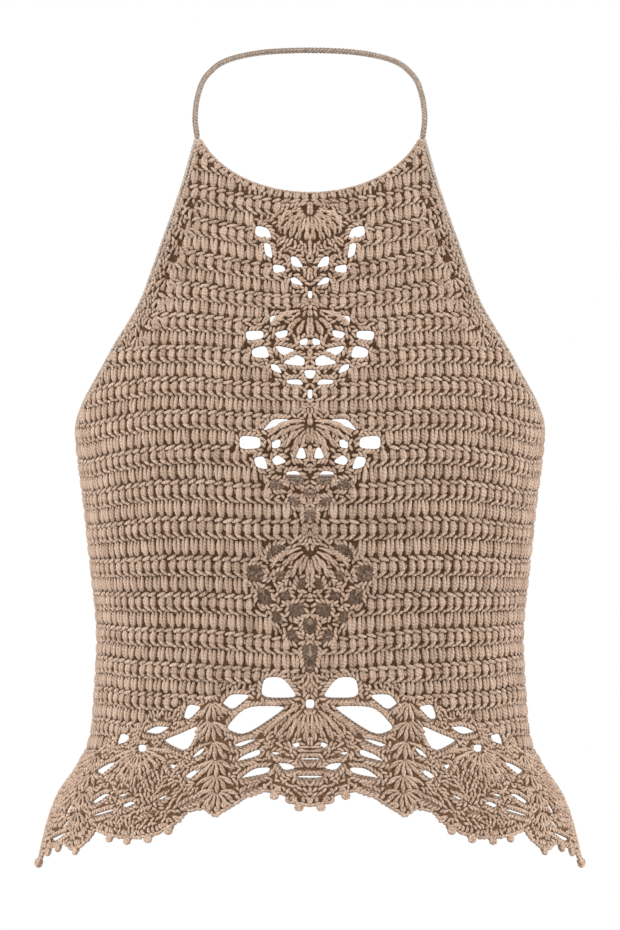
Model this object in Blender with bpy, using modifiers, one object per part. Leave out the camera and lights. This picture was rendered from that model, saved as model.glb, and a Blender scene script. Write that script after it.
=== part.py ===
"""Crocheted halter top, filled out as it is worn, with a lace column down the front and a lace hem.

Built in millimetres and placed in metres: +Z up, the front towards -Y, the origin at the nape,
on the inner face of the neck strap. A height is given as a drop below the nape. A place on the
cloth is given as its distance around the figure from the centre front line, and its drop.
"""

import math
from collections import namedtuple

import bmesh
import bpy
from mathutils import Vector
from mathutils.geometry import delaunay_2d_cdt

MM = 0.001

# Cloth, cords and the gaps between pieces
BODY_WALL = 3.0
LACE_WALL = 2.6
SEAM_GAP = 0.3
SIDE_GAP = 1.1
STRAP_RADIUS = 2.1
EDGING_RADIUS = 1.3
EDGING_INSET = 2.95
CORNER_WIDTH = 2.0

# The distance around is this radius times the turn, whatever the figure's own girth there
AROUND_RADIUS = 150.0
SIDE_TURN = math.pi / 2

# The general figure that fills the cloth, as level sections: half the width, the depth in front
# of the side seams and the depth behind them. The side seams lie at SEAM_DEPTH.
SEAM_DEPTH = -90.0
Section = namedtuple("Section", "drop half_width front back")
FIGURE = (
    Section(40, 150, 12, 60),
    Section(59, 150, 20, 66),
    Section(95, 151.5, 46, 80),
    Section(140, 153, 69, 92),
    Section(180, 154, 86, 99),
    Section(220, 155, 100, 101),
    Section(258, 155.6, 108, 100),
    Section(300, 150.5, 105, 95),
    Section(346, 145.5, 96, 87),
    Section(385, 141.6, 89, 82),
    Section(425, 143, 91, 86),
    Section(458, 146.4, 96, 94),
    Section(476, 155, 103, 102),
    Section(493, 166.6, 109, 108),
    Section(512, 174, 113, 113),
    Section(545, 182, 119, 119),
)

# The hem lace falls in soft flutes, with a crest at each of its eight large fans
FLUTES = 8
FLUTE_DEPTH = 6.0
FLUTE_START = 450.0
FLUTE_FULL = 530.0

# The neckline is the lower part of an ellipse, from one corner of the bib to the other
NECKLINE_CENTRE = 42.0
NECKLINE_HALF_WIDTH = 75.8
NECKLINE_DEPTH = 53.0
NECKLINE_END = 71.4

# The armhole's edge runs from the bib's corner to the side, and on across the low back
Edge = namedtuple("Edge", "turn drop")
ARMHOLE = (
    Edge(30.9, 60),
    Edge(34.7, 92),
    Edge(40.5, 129),
    Edge(46.7, 164),
    Edge(51.3, 180),
    Edge(57, 195),
    Edge(65.6, 216),
    Edge(74, 231),
    Edge(82, 243),
    Edge(90, 252),
)
BACK_EDGE = (Edge(90, 252), Edge(105, 263), Edge(125, 274), Edge(150, 281), Edge(180, 283))

# The seam between the solid rows and the lace hem climbs in steps towards the centre
SeamPoint = namedtuple("SeamPoint", "around drop")
LACE_SEAM = (
    SeamPoint(0, 414.5),
    SeamPoint(35, 415),
    SeamPoint(42, 423),
    SeamPoint(61, 425.5),
    SeamPoint(76, 430.5),
    SeamPoint(95, 432),
    SeamPoint(105, 442),
    SeamPoint(128, 445),
    SeamPoint(143, 451),
    SeamPoint(163, 454),
    SeamPoint(186, 465),
    SeamPoint(235.6, 474),
)

# The hem's lower edge from the centre to the side seam, with the picots on the run that follows
HemPoint = namedtuple("HemPoint", "around drop picots")
HEM = (
    HemPoint(0, 501.5, 1),
    HemPoint(12.9, 499, 0),
    HemPoint(15.5, 494, 1),
    HemPoint(27.5, 491.5, 0),
    HemPoint(38.9, 495.9, 0),
    HemPoint(48.2, 502.6, 0),
    HemPoint(57.5, 508.5, 0),
    HemPoint(65.2, 503.5, 0),
    HemPoint(74.9, 505.2, 0),
    HemPoint(80, 512, 1),
    HemPoint(92, 520, 1),
    HemPoint(105, 523, 1),
    HemPoint(121, 522.5, 1),
    HemPoint(135, 520, 0),
    HemPoint(144, 517.5, 0),
    HemPoint(149, 523, 0),
    HemPoint(160, 529, 1),
    HemPoint(176, 531, 0),
    HemPoint(187, 527, 1),
    HemPoint(203, 529.5, 1),
    HemPoint(218, 533, 0),
    HemPoint(226, 540, 0),
    HemPoint(235.6, 543, 0),
)
PICOT_WIDTH = 5.0
PICOT_DROP = 3.6

# A gap in the lace: its middle, its size and the angle that its long way climbs to the centre
Gap = namedtuple("Gap", "around drop width height climb")

# The gaps of the four leaf motifs of the front's lace column, from the neckline down
COLUMN_GAPS = (
    Gap(30.5, 122, 9, 8, 0),
    Gap(27, 132, 8, 9, -20),
    Gap(8.3, 141, 7.5, 6.5, 0),
    Gap(20, 146.5, 7.5, 5.3, -20),
    Gap(8.3, 154.3, 9, 4.6, 0),
    Gap(0, 163.5, 4.2, 4.6, 0),
    Gap(22.8, 179.4, 7.3, 4.2, 0),
    Gap(36.8, 189.6, 12, 6.2, 0),
    Gap(18.7, 189.6, 9, 4.2, 0),
    Gap(32.3, 201.6, 12, 7.3, 0),
    Gap(17.4, 199.4, 10.5, 6.2, 0),
    Gap(5.2, 194.3, 7, 5.2, 0),
    Gap(10.4, 207.4, 11.5, 4.6, -10),
    Gap(22.6, 212.6, 7.5, 4.6, -20),
    Gap(0, 215.6, 6.5, 4.4, 0),
    Gap(11, 219.8, 9, 4.4, -10),
    Gap(0, 229.4, 4.4, 6, 0),
    Gap(21.9, 248.6, 12, 5.3, 10),
    Gap(38.5, 261, 14.6, 8, 0),
    Gap(20, 261.6, 9.9, 6.3, 0),
    Gap(5.9, 268, 8, 7.6, 0),
    Gap(32.3, 274.3, 9.3, 7.3, -15),
    Gap(20, 273.4, 8.6, 4.6, 0),
    Gap(0, 278.5, 6.6, 4.6, 0),
    Gap(10.3, 284.6, 10.5, 8, 0),
    Gap(22.6, 287.5, 8.6, 6.6, -15),
    Gap(0, 294, 8, 5.6, 0),
    Gap(9.9, 299.9, 8.6, 4.6, -15),
    Gap(0, 310, 6.6, 9.9, 0),
    Gap(22, 332.2, 12, 6, 10),
    Gap(35.6, 348, 10, 9.9, 0),
    Gap(17.8, 348.2, 8, 5.3, 0),
    Gap(6, 354.5, 8, 4.6, 0),
    Gap(30, 361.8, 9.5, 9.3, 0),
    Gap(17, 360.5, 8, 4.6, 0),
    Gap(0, 362.7, 4.2, 6, 0),
    Gap(9.3, 371.8, 10.5, 7.8, 0),
    Gap(21.1, 375.6, 8, 6.6, -15),
    Gap(0, 381.6, 9.6, 8.8, 0),
    Gap(10.8, 388.6, 8.6, 6, -15),
    Gap(0, 402.6, 8.6, 13, 0),
)

# The gaps of the lace hem from the centre line to the side seam
HEM_GAPS = (
    Gap(0, 422.4, 5, 6, 0),
    Gap(0, 434, 7.5, 6.5, 0),
    Gap(23.5, 425, 22, 11.2, 0),
    Gap(50.1, 433.6, 19.5, 8.6, 10),
    Gap(36.2, 445.6, 41, 14.5, 26),
    Gap(86.2, 440.6, 13, 8.6, 10),
    Gap(91.1, 456, 29, 10.5, 22),
    Gap(116, 452.8, 17, 5.6, 5),
    Gap(128.4, 463.4, 9, 6.6, 0),
    Gap(152, 461, 13, 5, 10),
    Gap(44.4, 460, 17, 4.2, 20),
    Gap(42.5, 470.2, 19.5, 7.6, 25),
    Gap(36, 480.6, 22, 6.4, 20),
    Gap(14.8, 475.4, 10.5, 6.8, -10),
    Gap(24.1, 466.1, 7.5, 5.3, 0),
    Gap(9.8, 459.5, 6.5, 7, 0),
    Gap(0, 470.1, 13, 4.2, 0),
    Gap(0, 482, 20, 4.4, 0),
    Gap(78.9, 467.8, 8.3, 6.2, 30),
    Gap(76.9, 481.3, 13.5, 6.4, 20),
    Gap(79.5, 499.4, 21, 4.2, 15),
    Gap(97, 476, 5, 4.6, 0),
    Gap(94.4, 496.6, 9, 4.2, 0),
    Gap(117.6, 500.3, 12.4, 5.3, 12),
    Gap(144.5, 497.4, 16.5, 5.4, 18),
    Gap(142, 507.4, 22, 4.4, 10),
    Gap(161.3, 475.6, 24, 5.6, 24),
    Gap(161.5, 489, 9, 4.4, 10),
    Gap(187.4, 502.6, 10, 4.8, -10),
    Gap(190, 514.5, 10, 4.6, -10),
    Gap(201, 523, 16, 4.2, -5),
    Gap(200, 482, 16, 6, -22),
    Gap(205, 492.5, 13, 5, -15),
    Gap(226, 486, 8, 6, 0),
    Gap(216, 506, 10, 5.4, 0),
    Gap(226, 517, 10, 5, 0),
)
WIDE_GAP = 12.0

# The neck strap's middle line from the right corner of the bib to the nape: across, depth, drop
StrapPoint = namedtuple("StrapPoint", "across depth drop")
STRAP = (
    StrapPoint(74.5, -106.2, 60.2),
    StrapPoint(76, -101.5, 49),
    StrapPoint(75.6, -93.5, 39.3),
    StrapPoint(74.2, -84, 31.2),
    StrapPoint(71, -70, 21.7),
    StrapPoint(66, -55, 15),
    StrapPoint(59, -39, 9.2),
    StrapPoint(47, -20, 4.6),
    StrapPoint(28, -4.5, 1.2),
    StrapPoint(0, STRAP_RADIUS, 0),
)
STRAP_STEPS = 44

# The grid of points inside each panel, and the farthest apart that an edge's points lie
FRONT_SPACING = 15.0
BACK_SPACING = 17.0
LACE_SPACING = 15.0
EDGE_SPACING = 10.0
EDGING_SPACING = 9.0


def clear_scene():
    """Removes whatever the file holds already."""
    for thing in list(bpy.data.objects):
        bpy.data.objects.remove(thing, do_unlink=True)


def between(rows, at, place, column):
    """The column's value at a place, on a smooth curve through the rows."""
    index = 0
    while index < len(rows) - 2 and at > getattr(rows[index + 1], place):
        index += 1
    spots = [getattr(row, place) for row in rows]
    values = [getattr(row, column) for row in rows]

    def slope(i):
        low, high = max(i - 1, 0), min(i + 1, len(rows) - 1)
        return (values[high] - values[low]) / (spots[high] - spots[low])

    span = spots[index + 1] - spots[index]
    t = min(max((at - spots[index]) / span, 0.0), 1.0)
    return (
        values[index] * (2 * t**3 - 3 * t**2 + 1)
        + slope(index) * span * (t**3 - 2 * t**2 + t)
        + values[index + 1] * (3 * t**2 - 2 * t**3)
        + slope(index + 1) * span * (t**3 - t**2)
    )


def figure_point(around, drop):
    """The point of the cloth's outer face at a distance around and a drop, in millimetres."""
    turn = around / AROUND_RADIUS
    half_width = between(FIGURE, drop, "drop", "half_width")
    depth = between(FIGURE, drop, "drop", "front" if abs(turn) <= SIDE_TURN else "back")
    fullness = min(max((drop - FLUTE_START) / (FLUTE_FULL - FLUTE_START), 0.0), 1.0)
    pull = FLUTE_DEPTH * fullness * (1 - math.cos(FLUTES * turn)) / 2
    across = (half_width - pull) * math.sin(turn)
    return Vector((across, SEAM_DEPTH - (depth - pull) * math.cos(turn), -drop))


def inward(around, drop, distance):
    """The point this far inside the cloth's outer face."""
    step = 0.5
    here = figure_point(around, drop)
    along = figure_point(around + step, drop) - figure_point(around - step, drop)
    down = figure_point(around, drop + step) - figure_point(around, drop - step)
    return here - down.cross(along).normalized() * distance


def around_at(across, drop):
    """The distance around at which the front of the figure is this far from its middle plane."""
    low, high = 0.0, SIDE_TURN * AROUND_RADIUS
    for _ in range(40):
        middle = (low + high) / 2
        if figure_point(middle, drop).x < across:
            low = middle
        else:
            high = middle
    return (low + high) / 2


def turned(degrees):
    """The distance around of a turn in degrees."""
    return math.radians(degrees) * AROUND_RADIUS


def mirrored(half):
    """A line of (around, drop) points from the left end to the right, from its right half."""
    left = [(-around, drop) for around, drop in reversed(half) if around > 0]
    return left + list(half)


def spread(line, spacing):
    """The same line with its long steps divided."""
    points = [line[0]]
    for start, end in zip(line, line[1:]):
        length = math.dist(start, end)
        steps = max(1, math.ceil(length / spacing))
        for i in range(1, steps + 1):
            share = i / steps
            points.append(tuple(a + (b - a) * share for a, b in zip(start, end)))
    return points


def moved_in(line, distance):
    """A smooth line of (around, drop) points moved to its right, looking along it."""
    moved = []
    for i, point in enumerate(line):
        before, after = line[max(i - 1, 0)], line[min(i + 1, len(line) - 1)]
        along = Vector((after[0] - before[0], after[1] - before[1])).normalized()
        moved.append((point[0] - along.y * distance, point[1] + along.x * distance))
    return moved


def neckline(inset, clearance):
    """The right half of the neckline, moved into the cloth, up to where it nears the armhole."""
    armhole = moved_in(top_edge(ARMHOLE, 24), inset)
    fine = []
    for i in range(141):
        lean = math.asin(NECKLINE_END / NECKLINE_HALF_WIDTH) * i / 140
        drop = NECKLINE_CENTRE + NECKLINE_DEPTH * math.cos(lean)
        fine.append((around_at(NECKLINE_HALF_WIDTH * math.sin(lean), drop), drop))
    fine = [p for p in moved_in(fine, inset) if line_distance(p, armhole) >= clearance]
    line = fine[:-5:10] + fine[-1:]
    line[0] = (0, line[0][1])
    return line


def top_edge(rows, steps):
    """A smooth edge through rows of turn and drop, from the first row to the last."""
    line = []
    for i in range(steps + 1):
        turn = rows[0].turn + (rows[-1].turn - rows[0].turn) * i / steps
        line.append((turned(turn), between(rows, turn, "turn", "drop")))
    return line


def gap_loop(gap, side):
    """The rim of one gap as (around, drop) points, on the right of the middle or the left."""
    corners = 8 if gap.width >= WIDE_GAP else 6
    lean = math.radians(gap.climb)
    loop = []
    for i in range(corners):
        bearing = 2 * math.pi * (i + 0.5) / corners
        x = gap.width / 2 * math.cos(bearing)
        y = gap.height / 2 * math.sin(bearing) / math.cos(math.pi / corners)
        loop.append(
            (
                side * (gap.around + x * math.cos(lean) + y * math.sin(lean) * 0.5),
                gap.drop + x * math.sin(lean) + y,
            )
        )
    return loop


def gap_loops(gaps):
    """The rims of all the gaps, with each that is off the middle on both sides."""
    loops = []
    for gap in gaps:
        loops.append(gap_loop(gap, 1))
        if gap.around > 0:
            loops.append(gap_loop(gap, -1))
    return loops


def inside(point, loop):
    """Whether a point lies inside a closed loop."""
    within = False
    for (x1, y1), (x2, y2) in zip(loop, loop[1:] + loop[:1]):
        if (y1 > point[1]) != (y2 > point[1]):
            if point[0] < x1 + (point[1] - y1) * (x2 - x1) / (y2 - y1):
                within = not within
    return within


def line_distance(point, line):
    """How far a point is from a line of points."""
    nearest = math.inf
    for start, end in zip(line, line[1:]):
        dx, dy = end[0] - start[0], end[1] - start[1]
        length = dx * dx + dy * dy
        share = 0.0
        if length > 0:
            share = ((point[0] - start[0]) * dx + (point[1] - start[1]) * dy) / length
        share = min(max(share, 0.0), 1.0)
        nearest = min(nearest, math.dist(point, (start[0] + share * dx, start[1] + share * dy)))
    return nearest


def rim_distance(point, loop):
    """How far a point is from a closed loop."""
    return line_distance(point, loop + loop[:1])


def fill_points(outline, loops, spacing):
    """A symmetric grid of points inside the outline, clear of its rim and of the gaps."""
    reach = max(abs(point[0]) for point in outline)
    columns = math.ceil(reach / spacing)
    low = min(point[1] for point in outline)
    high = max(point[1] for point in outline)
    rows = math.ceil((high - low) / spacing)
    boxes = [
        (min(p[0] for p in loop), max(p[0] for p in loop), min(p[1] for p in loop),
         max(p[1] for p in loop), loop)
        for loop in loops
    ]
    clearance = 0.5 * spacing
    points = []
    for column in range(-columns, columns + 1):
        for row in range(1, rows):
            point = (column * spacing, low + (high - low) * row / rows)
            if not inside(point, outline) or rim_distance(point, outline) < clearance:
                continue
            close = [
                loop
                for left, right, top, bottom, loop in boxes
                if left - clearance < point[0] < right + clearance
                and top - clearance < point[1] < bottom + clearance
            ]
            if any(inside(point, c) or rim_distance(point, c) < 0.4 * spacing for c in close):
                continue
            points.append(point)
    return points


def panel(name, outline, gaps, spacing, wall, turn_middle, material, collection):
    """A panel of cloth cut to an outline, with gaps cut through, as a wall on the figure.

    The outline and gaps are measured around from the middle line of the panel, which lies
    turn_middle round the figure: 0 for the front and a half turn for the back.
    """
    loops = gap_loops(gaps)
    points, edges = [], []
    for loop in [outline] + loops:
        base = len(points)
        points += loop
        edges += [(base + i, base + (i + 1) % len(loop)) for i in range(len(loop))]
    points += fill_points(outline, loops, spacing)
    flat, _, faces, _, _, _ = delaunay_2d_cdt(
        [Vector(point) for point in points], edges, [], 1, 1e-5
    )
    kept = []
    for face in faces:
        middle = sum((flat[i] for i in face), Vector((0, 0))) / len(face)
        if inside(middle, outline) and not any(inside(middle, loop) for loop in loops):
            kept.append(face)
    offset = turn_middle * AROUND_RADIUS
    mesh = bpy.data.meshes.new(name)
    corners = [figure_point(wrapped(around + offset), drop) * MM for around, drop in flat]
    mesh.from_pydata(corners, [], [facing_out(face, flat) for face in kept])
    build = bmesh.new()
    build.from_mesh(mesh)
    loose = [vertex for vertex in build.verts if not vertex.link_faces]
    bmesh.ops.delete(build, geom=loose, context="VERTS")
    build.to_mesh(mesh)
    build.free()
    mesh.shade_smooth()
    mesh.materials.append(material)
    cloth = bpy.data.objects.new(name, mesh)
    collection.objects.link(cloth)
    solidify = cloth.modifiers.new("Wall", "SOLIDIFY")
    solidify.thickness = wall * MM
    solidify.offset = -1.0
    return cloth


def facing_out(face, flat):
    """The face with its corners in the order that turns it away from the figure."""
    a, b, c = (flat[i] for i in face[:3])
    clockwise = (b - a).cross(c - a) > 0
    return tuple(reversed(face)) if clockwise else tuple(face)


def wrapped(around):
    """A distance around brought within half a turn of the centre front."""
    girth = 2 * math.pi * AROUND_RADIUS
    return (around + girth / 2) % girth - girth / 2


def front_outline():
    """The front from the neckline's edging to the lace seam, inside the armholes' edging."""
    seam = turned(90) - SIDE_GAP / 2
    neck = neckline(EDGING_INSET, CORNER_WIDTH)
    armhole = moved_in(top_edge(ARMHOLE, 24), EDGING_INSET)
    armhole = [p for p in armhole if p[0] < seam - 1 and p[1] > neck[-1][1] - 0.5]
    side_top = between(ARMHOLE, 90, "turn", "drop") + EDGING_INSET
    side = [(seam, side_top), (seam, LACE_SEAM[-1].drop - SEAM_GAP / 2)]
    hem = [(p.around, p.drop - SEAM_GAP / 2) for p in reversed(LACE_SEAM) if p.around < seam]
    return close_outline(neck + armhole + side + hem)


def close_outline(half):
    """A closed outline from its right half, which starts and ends on the middle line."""
    half = spread(half, EDGE_SPACING)
    left = [(-around, drop) for around, drop in reversed(half[1:-1])]
    return half + left


def back_outline():
    """The back from its low top edge to the lace seam, measured from the centre back."""
    seam = turned(90) - SIDE_GAP / 2
    top = [(turned(180) - around, drop + EDGING_INSET) for around, drop in top_edge(BACK_EDGE, 20)]
    top = [(min(around, seam), drop) for around, drop in reversed(top)]
    hem = [(p.around, p.drop - SEAM_GAP / 2) for p in reversed(LACE_SEAM) if p.around < seam]
    half = top + [(seam, LACE_SEAM[-1].drop - SEAM_GAP / 2)] + hem
    half[0] = (0, half[0][1])
    return close_outline(half)


def hem_outline():
    """The lace hem's outline, with its points and picots, measured from its middle line."""
    seam = turned(90) - SIDE_GAP / 2
    top = [(min(p.around, seam), p.drop + SEAM_GAP / 2) for p in LACE_SEAM]
    low = []
    for row, following in zip(HEM, HEM[1:]):
        low.append((min(row.around, seam), row.drop))
        if row.picots:
            run = following.around - row.around
            fall = following.drop - row.drop
            middle = (row.around + run / 2, row.drop + fall / 2)
            low += [
                (middle[0] - PICOT_WIDTH / 2, middle[1] - fall * PICOT_WIDTH / run / 2),
                (middle[0], middle[1] + PICOT_DROP),
                (middle[0] + PICOT_WIDTH / 2, middle[1] + fall * PICOT_WIDTH / run / 2),
            ]
    low.append((seam, HEM[-1].drop))
    return close_outline(top + low[::-1])


def tube(name, points, radius, sides_level, material, collection):
    """A round cord through points in millimetres, with closed ends."""
    curve = bpy.data.curves.new(name, "CURVE")
    curve.dimensions = "3D"
    curve.bevel_depth = radius * MM
    curve.bevel_resolution = sides_level
    curve.use_fill_caps = True
    spline = curve.splines.new("POLY")
    spline.points.add(len(points) - 1)
    for spot, point in zip(spline.points, points):
        spot.co = (*(point * MM), 1.0)
    spline.use_smooth = True
    curve.materials.append(material)
    cord = bpy.data.objects.new(name, curve)
    collection.objects.link(cord)
    return cord


def neck_edging(material, collection):
    """The crocheted edge along the neckline."""
    half = neckline(EDGING_RADIUS, 2 * EDGING_RADIUS + SEAM_GAP)
    line = [inward(around, drop, BODY_WALL / 2) for around, drop in mirrored(half)]
    return tube("neck_edging", line, EDGING_RADIUS, 1, material, collection)


def top_edging(material, collection):
    """The crocheted edge up one armhole from the bib's corner, across the back and up the other."""
    armhole = moved_in(top_edge(ARMHOLE, 24), EDGING_RADIUS)
    back = [(around, drop + EDGING_RADIUS) for around, drop in top_edge(BACK_EDGE, 16)]
    right = spread([p for p in armhole if p[0] < back[0][0] - 3] + back, EDGING_SPACING)
    full = turned(360)
    left = [(full - around, drop) for around, drop in reversed(right[:-1])]
    line = [
        inward(wrapped(around), drop, BODY_WALL / 2) for around, drop in right + left
    ]
    return tube("top_edging", line, EDGING_RADIUS, 1, material, collection)


def neck_strap(material, collection):
    """The cord from one corner of the bib round the nape to the other."""
    half = [Vector((p.across, p.depth, -p.drop)) for p in STRAP]
    points = half + [Vector((-p.x, p.y, p.z)) for p in reversed(half[:-1])]
    line = []
    for i in range(STRAP_STEPS + 1):
        place = i / STRAP_STEPS * (len(points) - 1)
        index = min(int(place), len(points) - 2)
        t = place - index
        p0, p3 = points[max(index - 1, 0)], points[min(index + 2, len(points) - 1)]
        p1, p2 = points[index], points[index + 1]
        line.append(
            (
                p1 * 2
                + (p2 - p0) * t
                + (p0 * 2 - p1 * 5 + p2 * 4 - p3) * t**2
                + (p1 * 3 - p0 - p2 * 3 + p3) * t**3
            )
            / 2
        )
    return tube("neck_strap", line, STRAP_RADIUS, 2, material, collection)


def yarn_material(name, colour, roughness):
    """Cotton yarn of one colour."""
    material = bpy.data.materials.new(name)
    material.use_nodes = True
    shader = material.node_tree.nodes["Principled BSDF"]
    shader.inputs["Base Color"].default_value = (*colour, 1.0)
    shader.inputs["Roughness"].default_value = roughness
    shader.inputs["Metallic"].default_value = 0.0
    material.diffuse_color = (*colour, 1.0)
    return material


def main():
    clear_scene()
    top = bpy.data.collections.new("halter_top")
    bpy.context.scene.collection.children.link(top)
    rows_yarn = yarn_material("rows_yarn", (0.40, 0.27, 0.185), 0.85)
    lace_yarn = yarn_material("lace_yarn", (0.42, 0.29, 0.20), 0.85)
    edge_yarn = yarn_material("edge_yarn", (0.45, 0.34, 0.25), 0.8)
    panel("front", front_outline(), COLUMN_GAPS, FRONT_SPACING, BODY_WALL, 0.0, rows_yarn, top)
    panel("back", back_outline(), [], BACK_SPACING, BODY_WALL, math.pi, rows_yarn, top)
    panel("hem_lace_front", hem_outline(), HEM_GAPS, LACE_SPACING, LACE_WALL, 0.0, lace_yarn, top)
    panel("hem_lace_back", hem_outline(), HEM_GAPS, LACE_SPACING, LACE_WALL, math.pi, lace_yarn, top)
    neck_edging(edge_yarn, top)
    top_edging(edge_yarn, top)
    neck_strap(edge_yarn, top)


main()
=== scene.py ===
"""Looks of the crocheted halter top: its stitches as strands of plied yarn over thin cloth.

Places on the cloth are given in millimetres, as a distance around the figure from the centre front
line, a drop below the nape and a lift out of the cloth's outer face.
"""

import math
from collections import namedtuple

import bpy
import numpy as np
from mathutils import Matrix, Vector
from mathutils.geometry import delaunay_2d_cdt
from mathutils.kdtree import KDTree


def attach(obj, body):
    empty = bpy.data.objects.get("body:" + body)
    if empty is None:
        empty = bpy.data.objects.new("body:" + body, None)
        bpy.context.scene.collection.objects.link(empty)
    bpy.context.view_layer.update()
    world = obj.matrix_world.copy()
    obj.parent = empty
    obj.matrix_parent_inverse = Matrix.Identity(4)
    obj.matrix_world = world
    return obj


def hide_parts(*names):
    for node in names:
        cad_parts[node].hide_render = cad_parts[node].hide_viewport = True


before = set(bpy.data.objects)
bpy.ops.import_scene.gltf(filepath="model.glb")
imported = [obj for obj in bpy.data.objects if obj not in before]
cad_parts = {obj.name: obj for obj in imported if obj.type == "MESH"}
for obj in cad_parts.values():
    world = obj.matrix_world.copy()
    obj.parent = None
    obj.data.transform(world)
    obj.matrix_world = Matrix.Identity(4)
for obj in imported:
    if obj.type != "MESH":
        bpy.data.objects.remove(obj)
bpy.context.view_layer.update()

MM = 0.001
CHANCE = np.random.default_rng(11)

# The form of the figure, repeated from the part's source
AROUND_RADIUS = 150.0
SIDE_TURN = math.pi / 2
HALF_GIRTH = math.pi * AROUND_RADIUS
SIDE = HALF_GIRTH / 2
SEAM_DEPTH = -90.0
Section = namedtuple("Section", "drop half_width front back")
FIGURE = (
    Section(40, 150, 12, 60),
    Section(59, 150, 20, 66),
    Section(95, 151.5, 46, 80),
    Section(140, 153, 69, 92),
    Section(180, 154, 86, 99),
    Section(220, 155, 100, 101),
    Section(258, 155.6, 108, 100),
    Section(300, 150.5, 105, 95),
    Section(346, 145.5, 96, 87),
    Section(385, 141.6, 89, 82),
    Section(425, 143, 91, 86),
    Section(458, 146.4, 96, 94),
    Section(476, 155, 103, 102),
    Section(493, 166.6, 109, 108),
    Section(512, 174, 113, 113),
    Section(545, 182, 119, 119),
)
FLUTES = 8
FLUTE_DEPTH = 6.0
FLUTE_START = 450.0
FLUTE_FULL = 530.0

# The edges of the pieces, repeated from the part's source
NECKLINE_CENTRE = 42.0
NECKLINE_HALF_WIDTH = 75.8
NECKLINE_DEPTH = 53.0
NECKLINE_END = 71.4
Edge = namedtuple("Edge", "turn drop")
ARMHOLE = (
    Edge(30.9, 60),
    Edge(34.7, 92),
    Edge(40.5, 129),
    Edge(46.7, 164),
    Edge(51.3, 180),
    Edge(57, 195),
    Edge(65.6, 216),
    Edge(74, 231),
    Edge(82, 243),
    Edge(90, 252),
)
BACK_EDGE = (Edge(90, 252), Edge(105, 263), Edge(125, 274), Edge(150, 281), Edge(180, 283))
SeamPoint = namedtuple("SeamPoint", "around drop")
LACE_SEAM = (
    SeamPoint(0, 414.5),
    SeamPoint(35, 415),
    SeamPoint(42, 423),
    SeamPoint(61, 425.5),
    SeamPoint(76, 430.5),
    SeamPoint(95, 432),
    SeamPoint(105, 442),
    SeamPoint(128, 445),
    SeamPoint(143, 451),
    SeamPoint(163, 454),
    SeamPoint(186, 465),
    SeamPoint(235.6, 474),
)
HemPoint = namedtuple("HemPoint", "around drop picots")
HEM = (
    HemPoint(0, 501.5, 1),
    HemPoint(12.9, 499, 0),
    HemPoint(15.5, 494, 1),
    HemPoint(27.5, 491.5, 0),
    HemPoint(38.9, 495.9, 0),
    HemPoint(48.2, 502.6, 0),
    HemPoint(57.5, 508.5, 0),
    HemPoint(65.2, 503.5, 0),
    HemPoint(74.9, 505.2, 0),
    HemPoint(80, 512, 1),
    HemPoint(92, 520, 1),
    HemPoint(105, 523, 1),
    HemPoint(121, 522.5, 1),
    HemPoint(135, 520, 0),
    HemPoint(144, 517.5, 0),
    HemPoint(149, 523, 0),
    HemPoint(160, 529, 1),
    HemPoint(176, 531, 0),
    HemPoint(187, 527, 1),
    HemPoint(203, 529.5, 1),
    HemPoint(218, 533, 0),
    HemPoint(226, 540, 0),
    HemPoint(235.6, 543, 0),
)
PICOT_DROP = 3.6

# Distances around past this have the hem's looser stitches, at the figure's side
HEM_FLANK = 164.0

# The photograph's scale, and the pixels there of the garment's middle line and of its nape
PIXEL = 0.663
MIDDLE_PIXEL = 310.0
NAPE_PIXEL = 48.0

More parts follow.
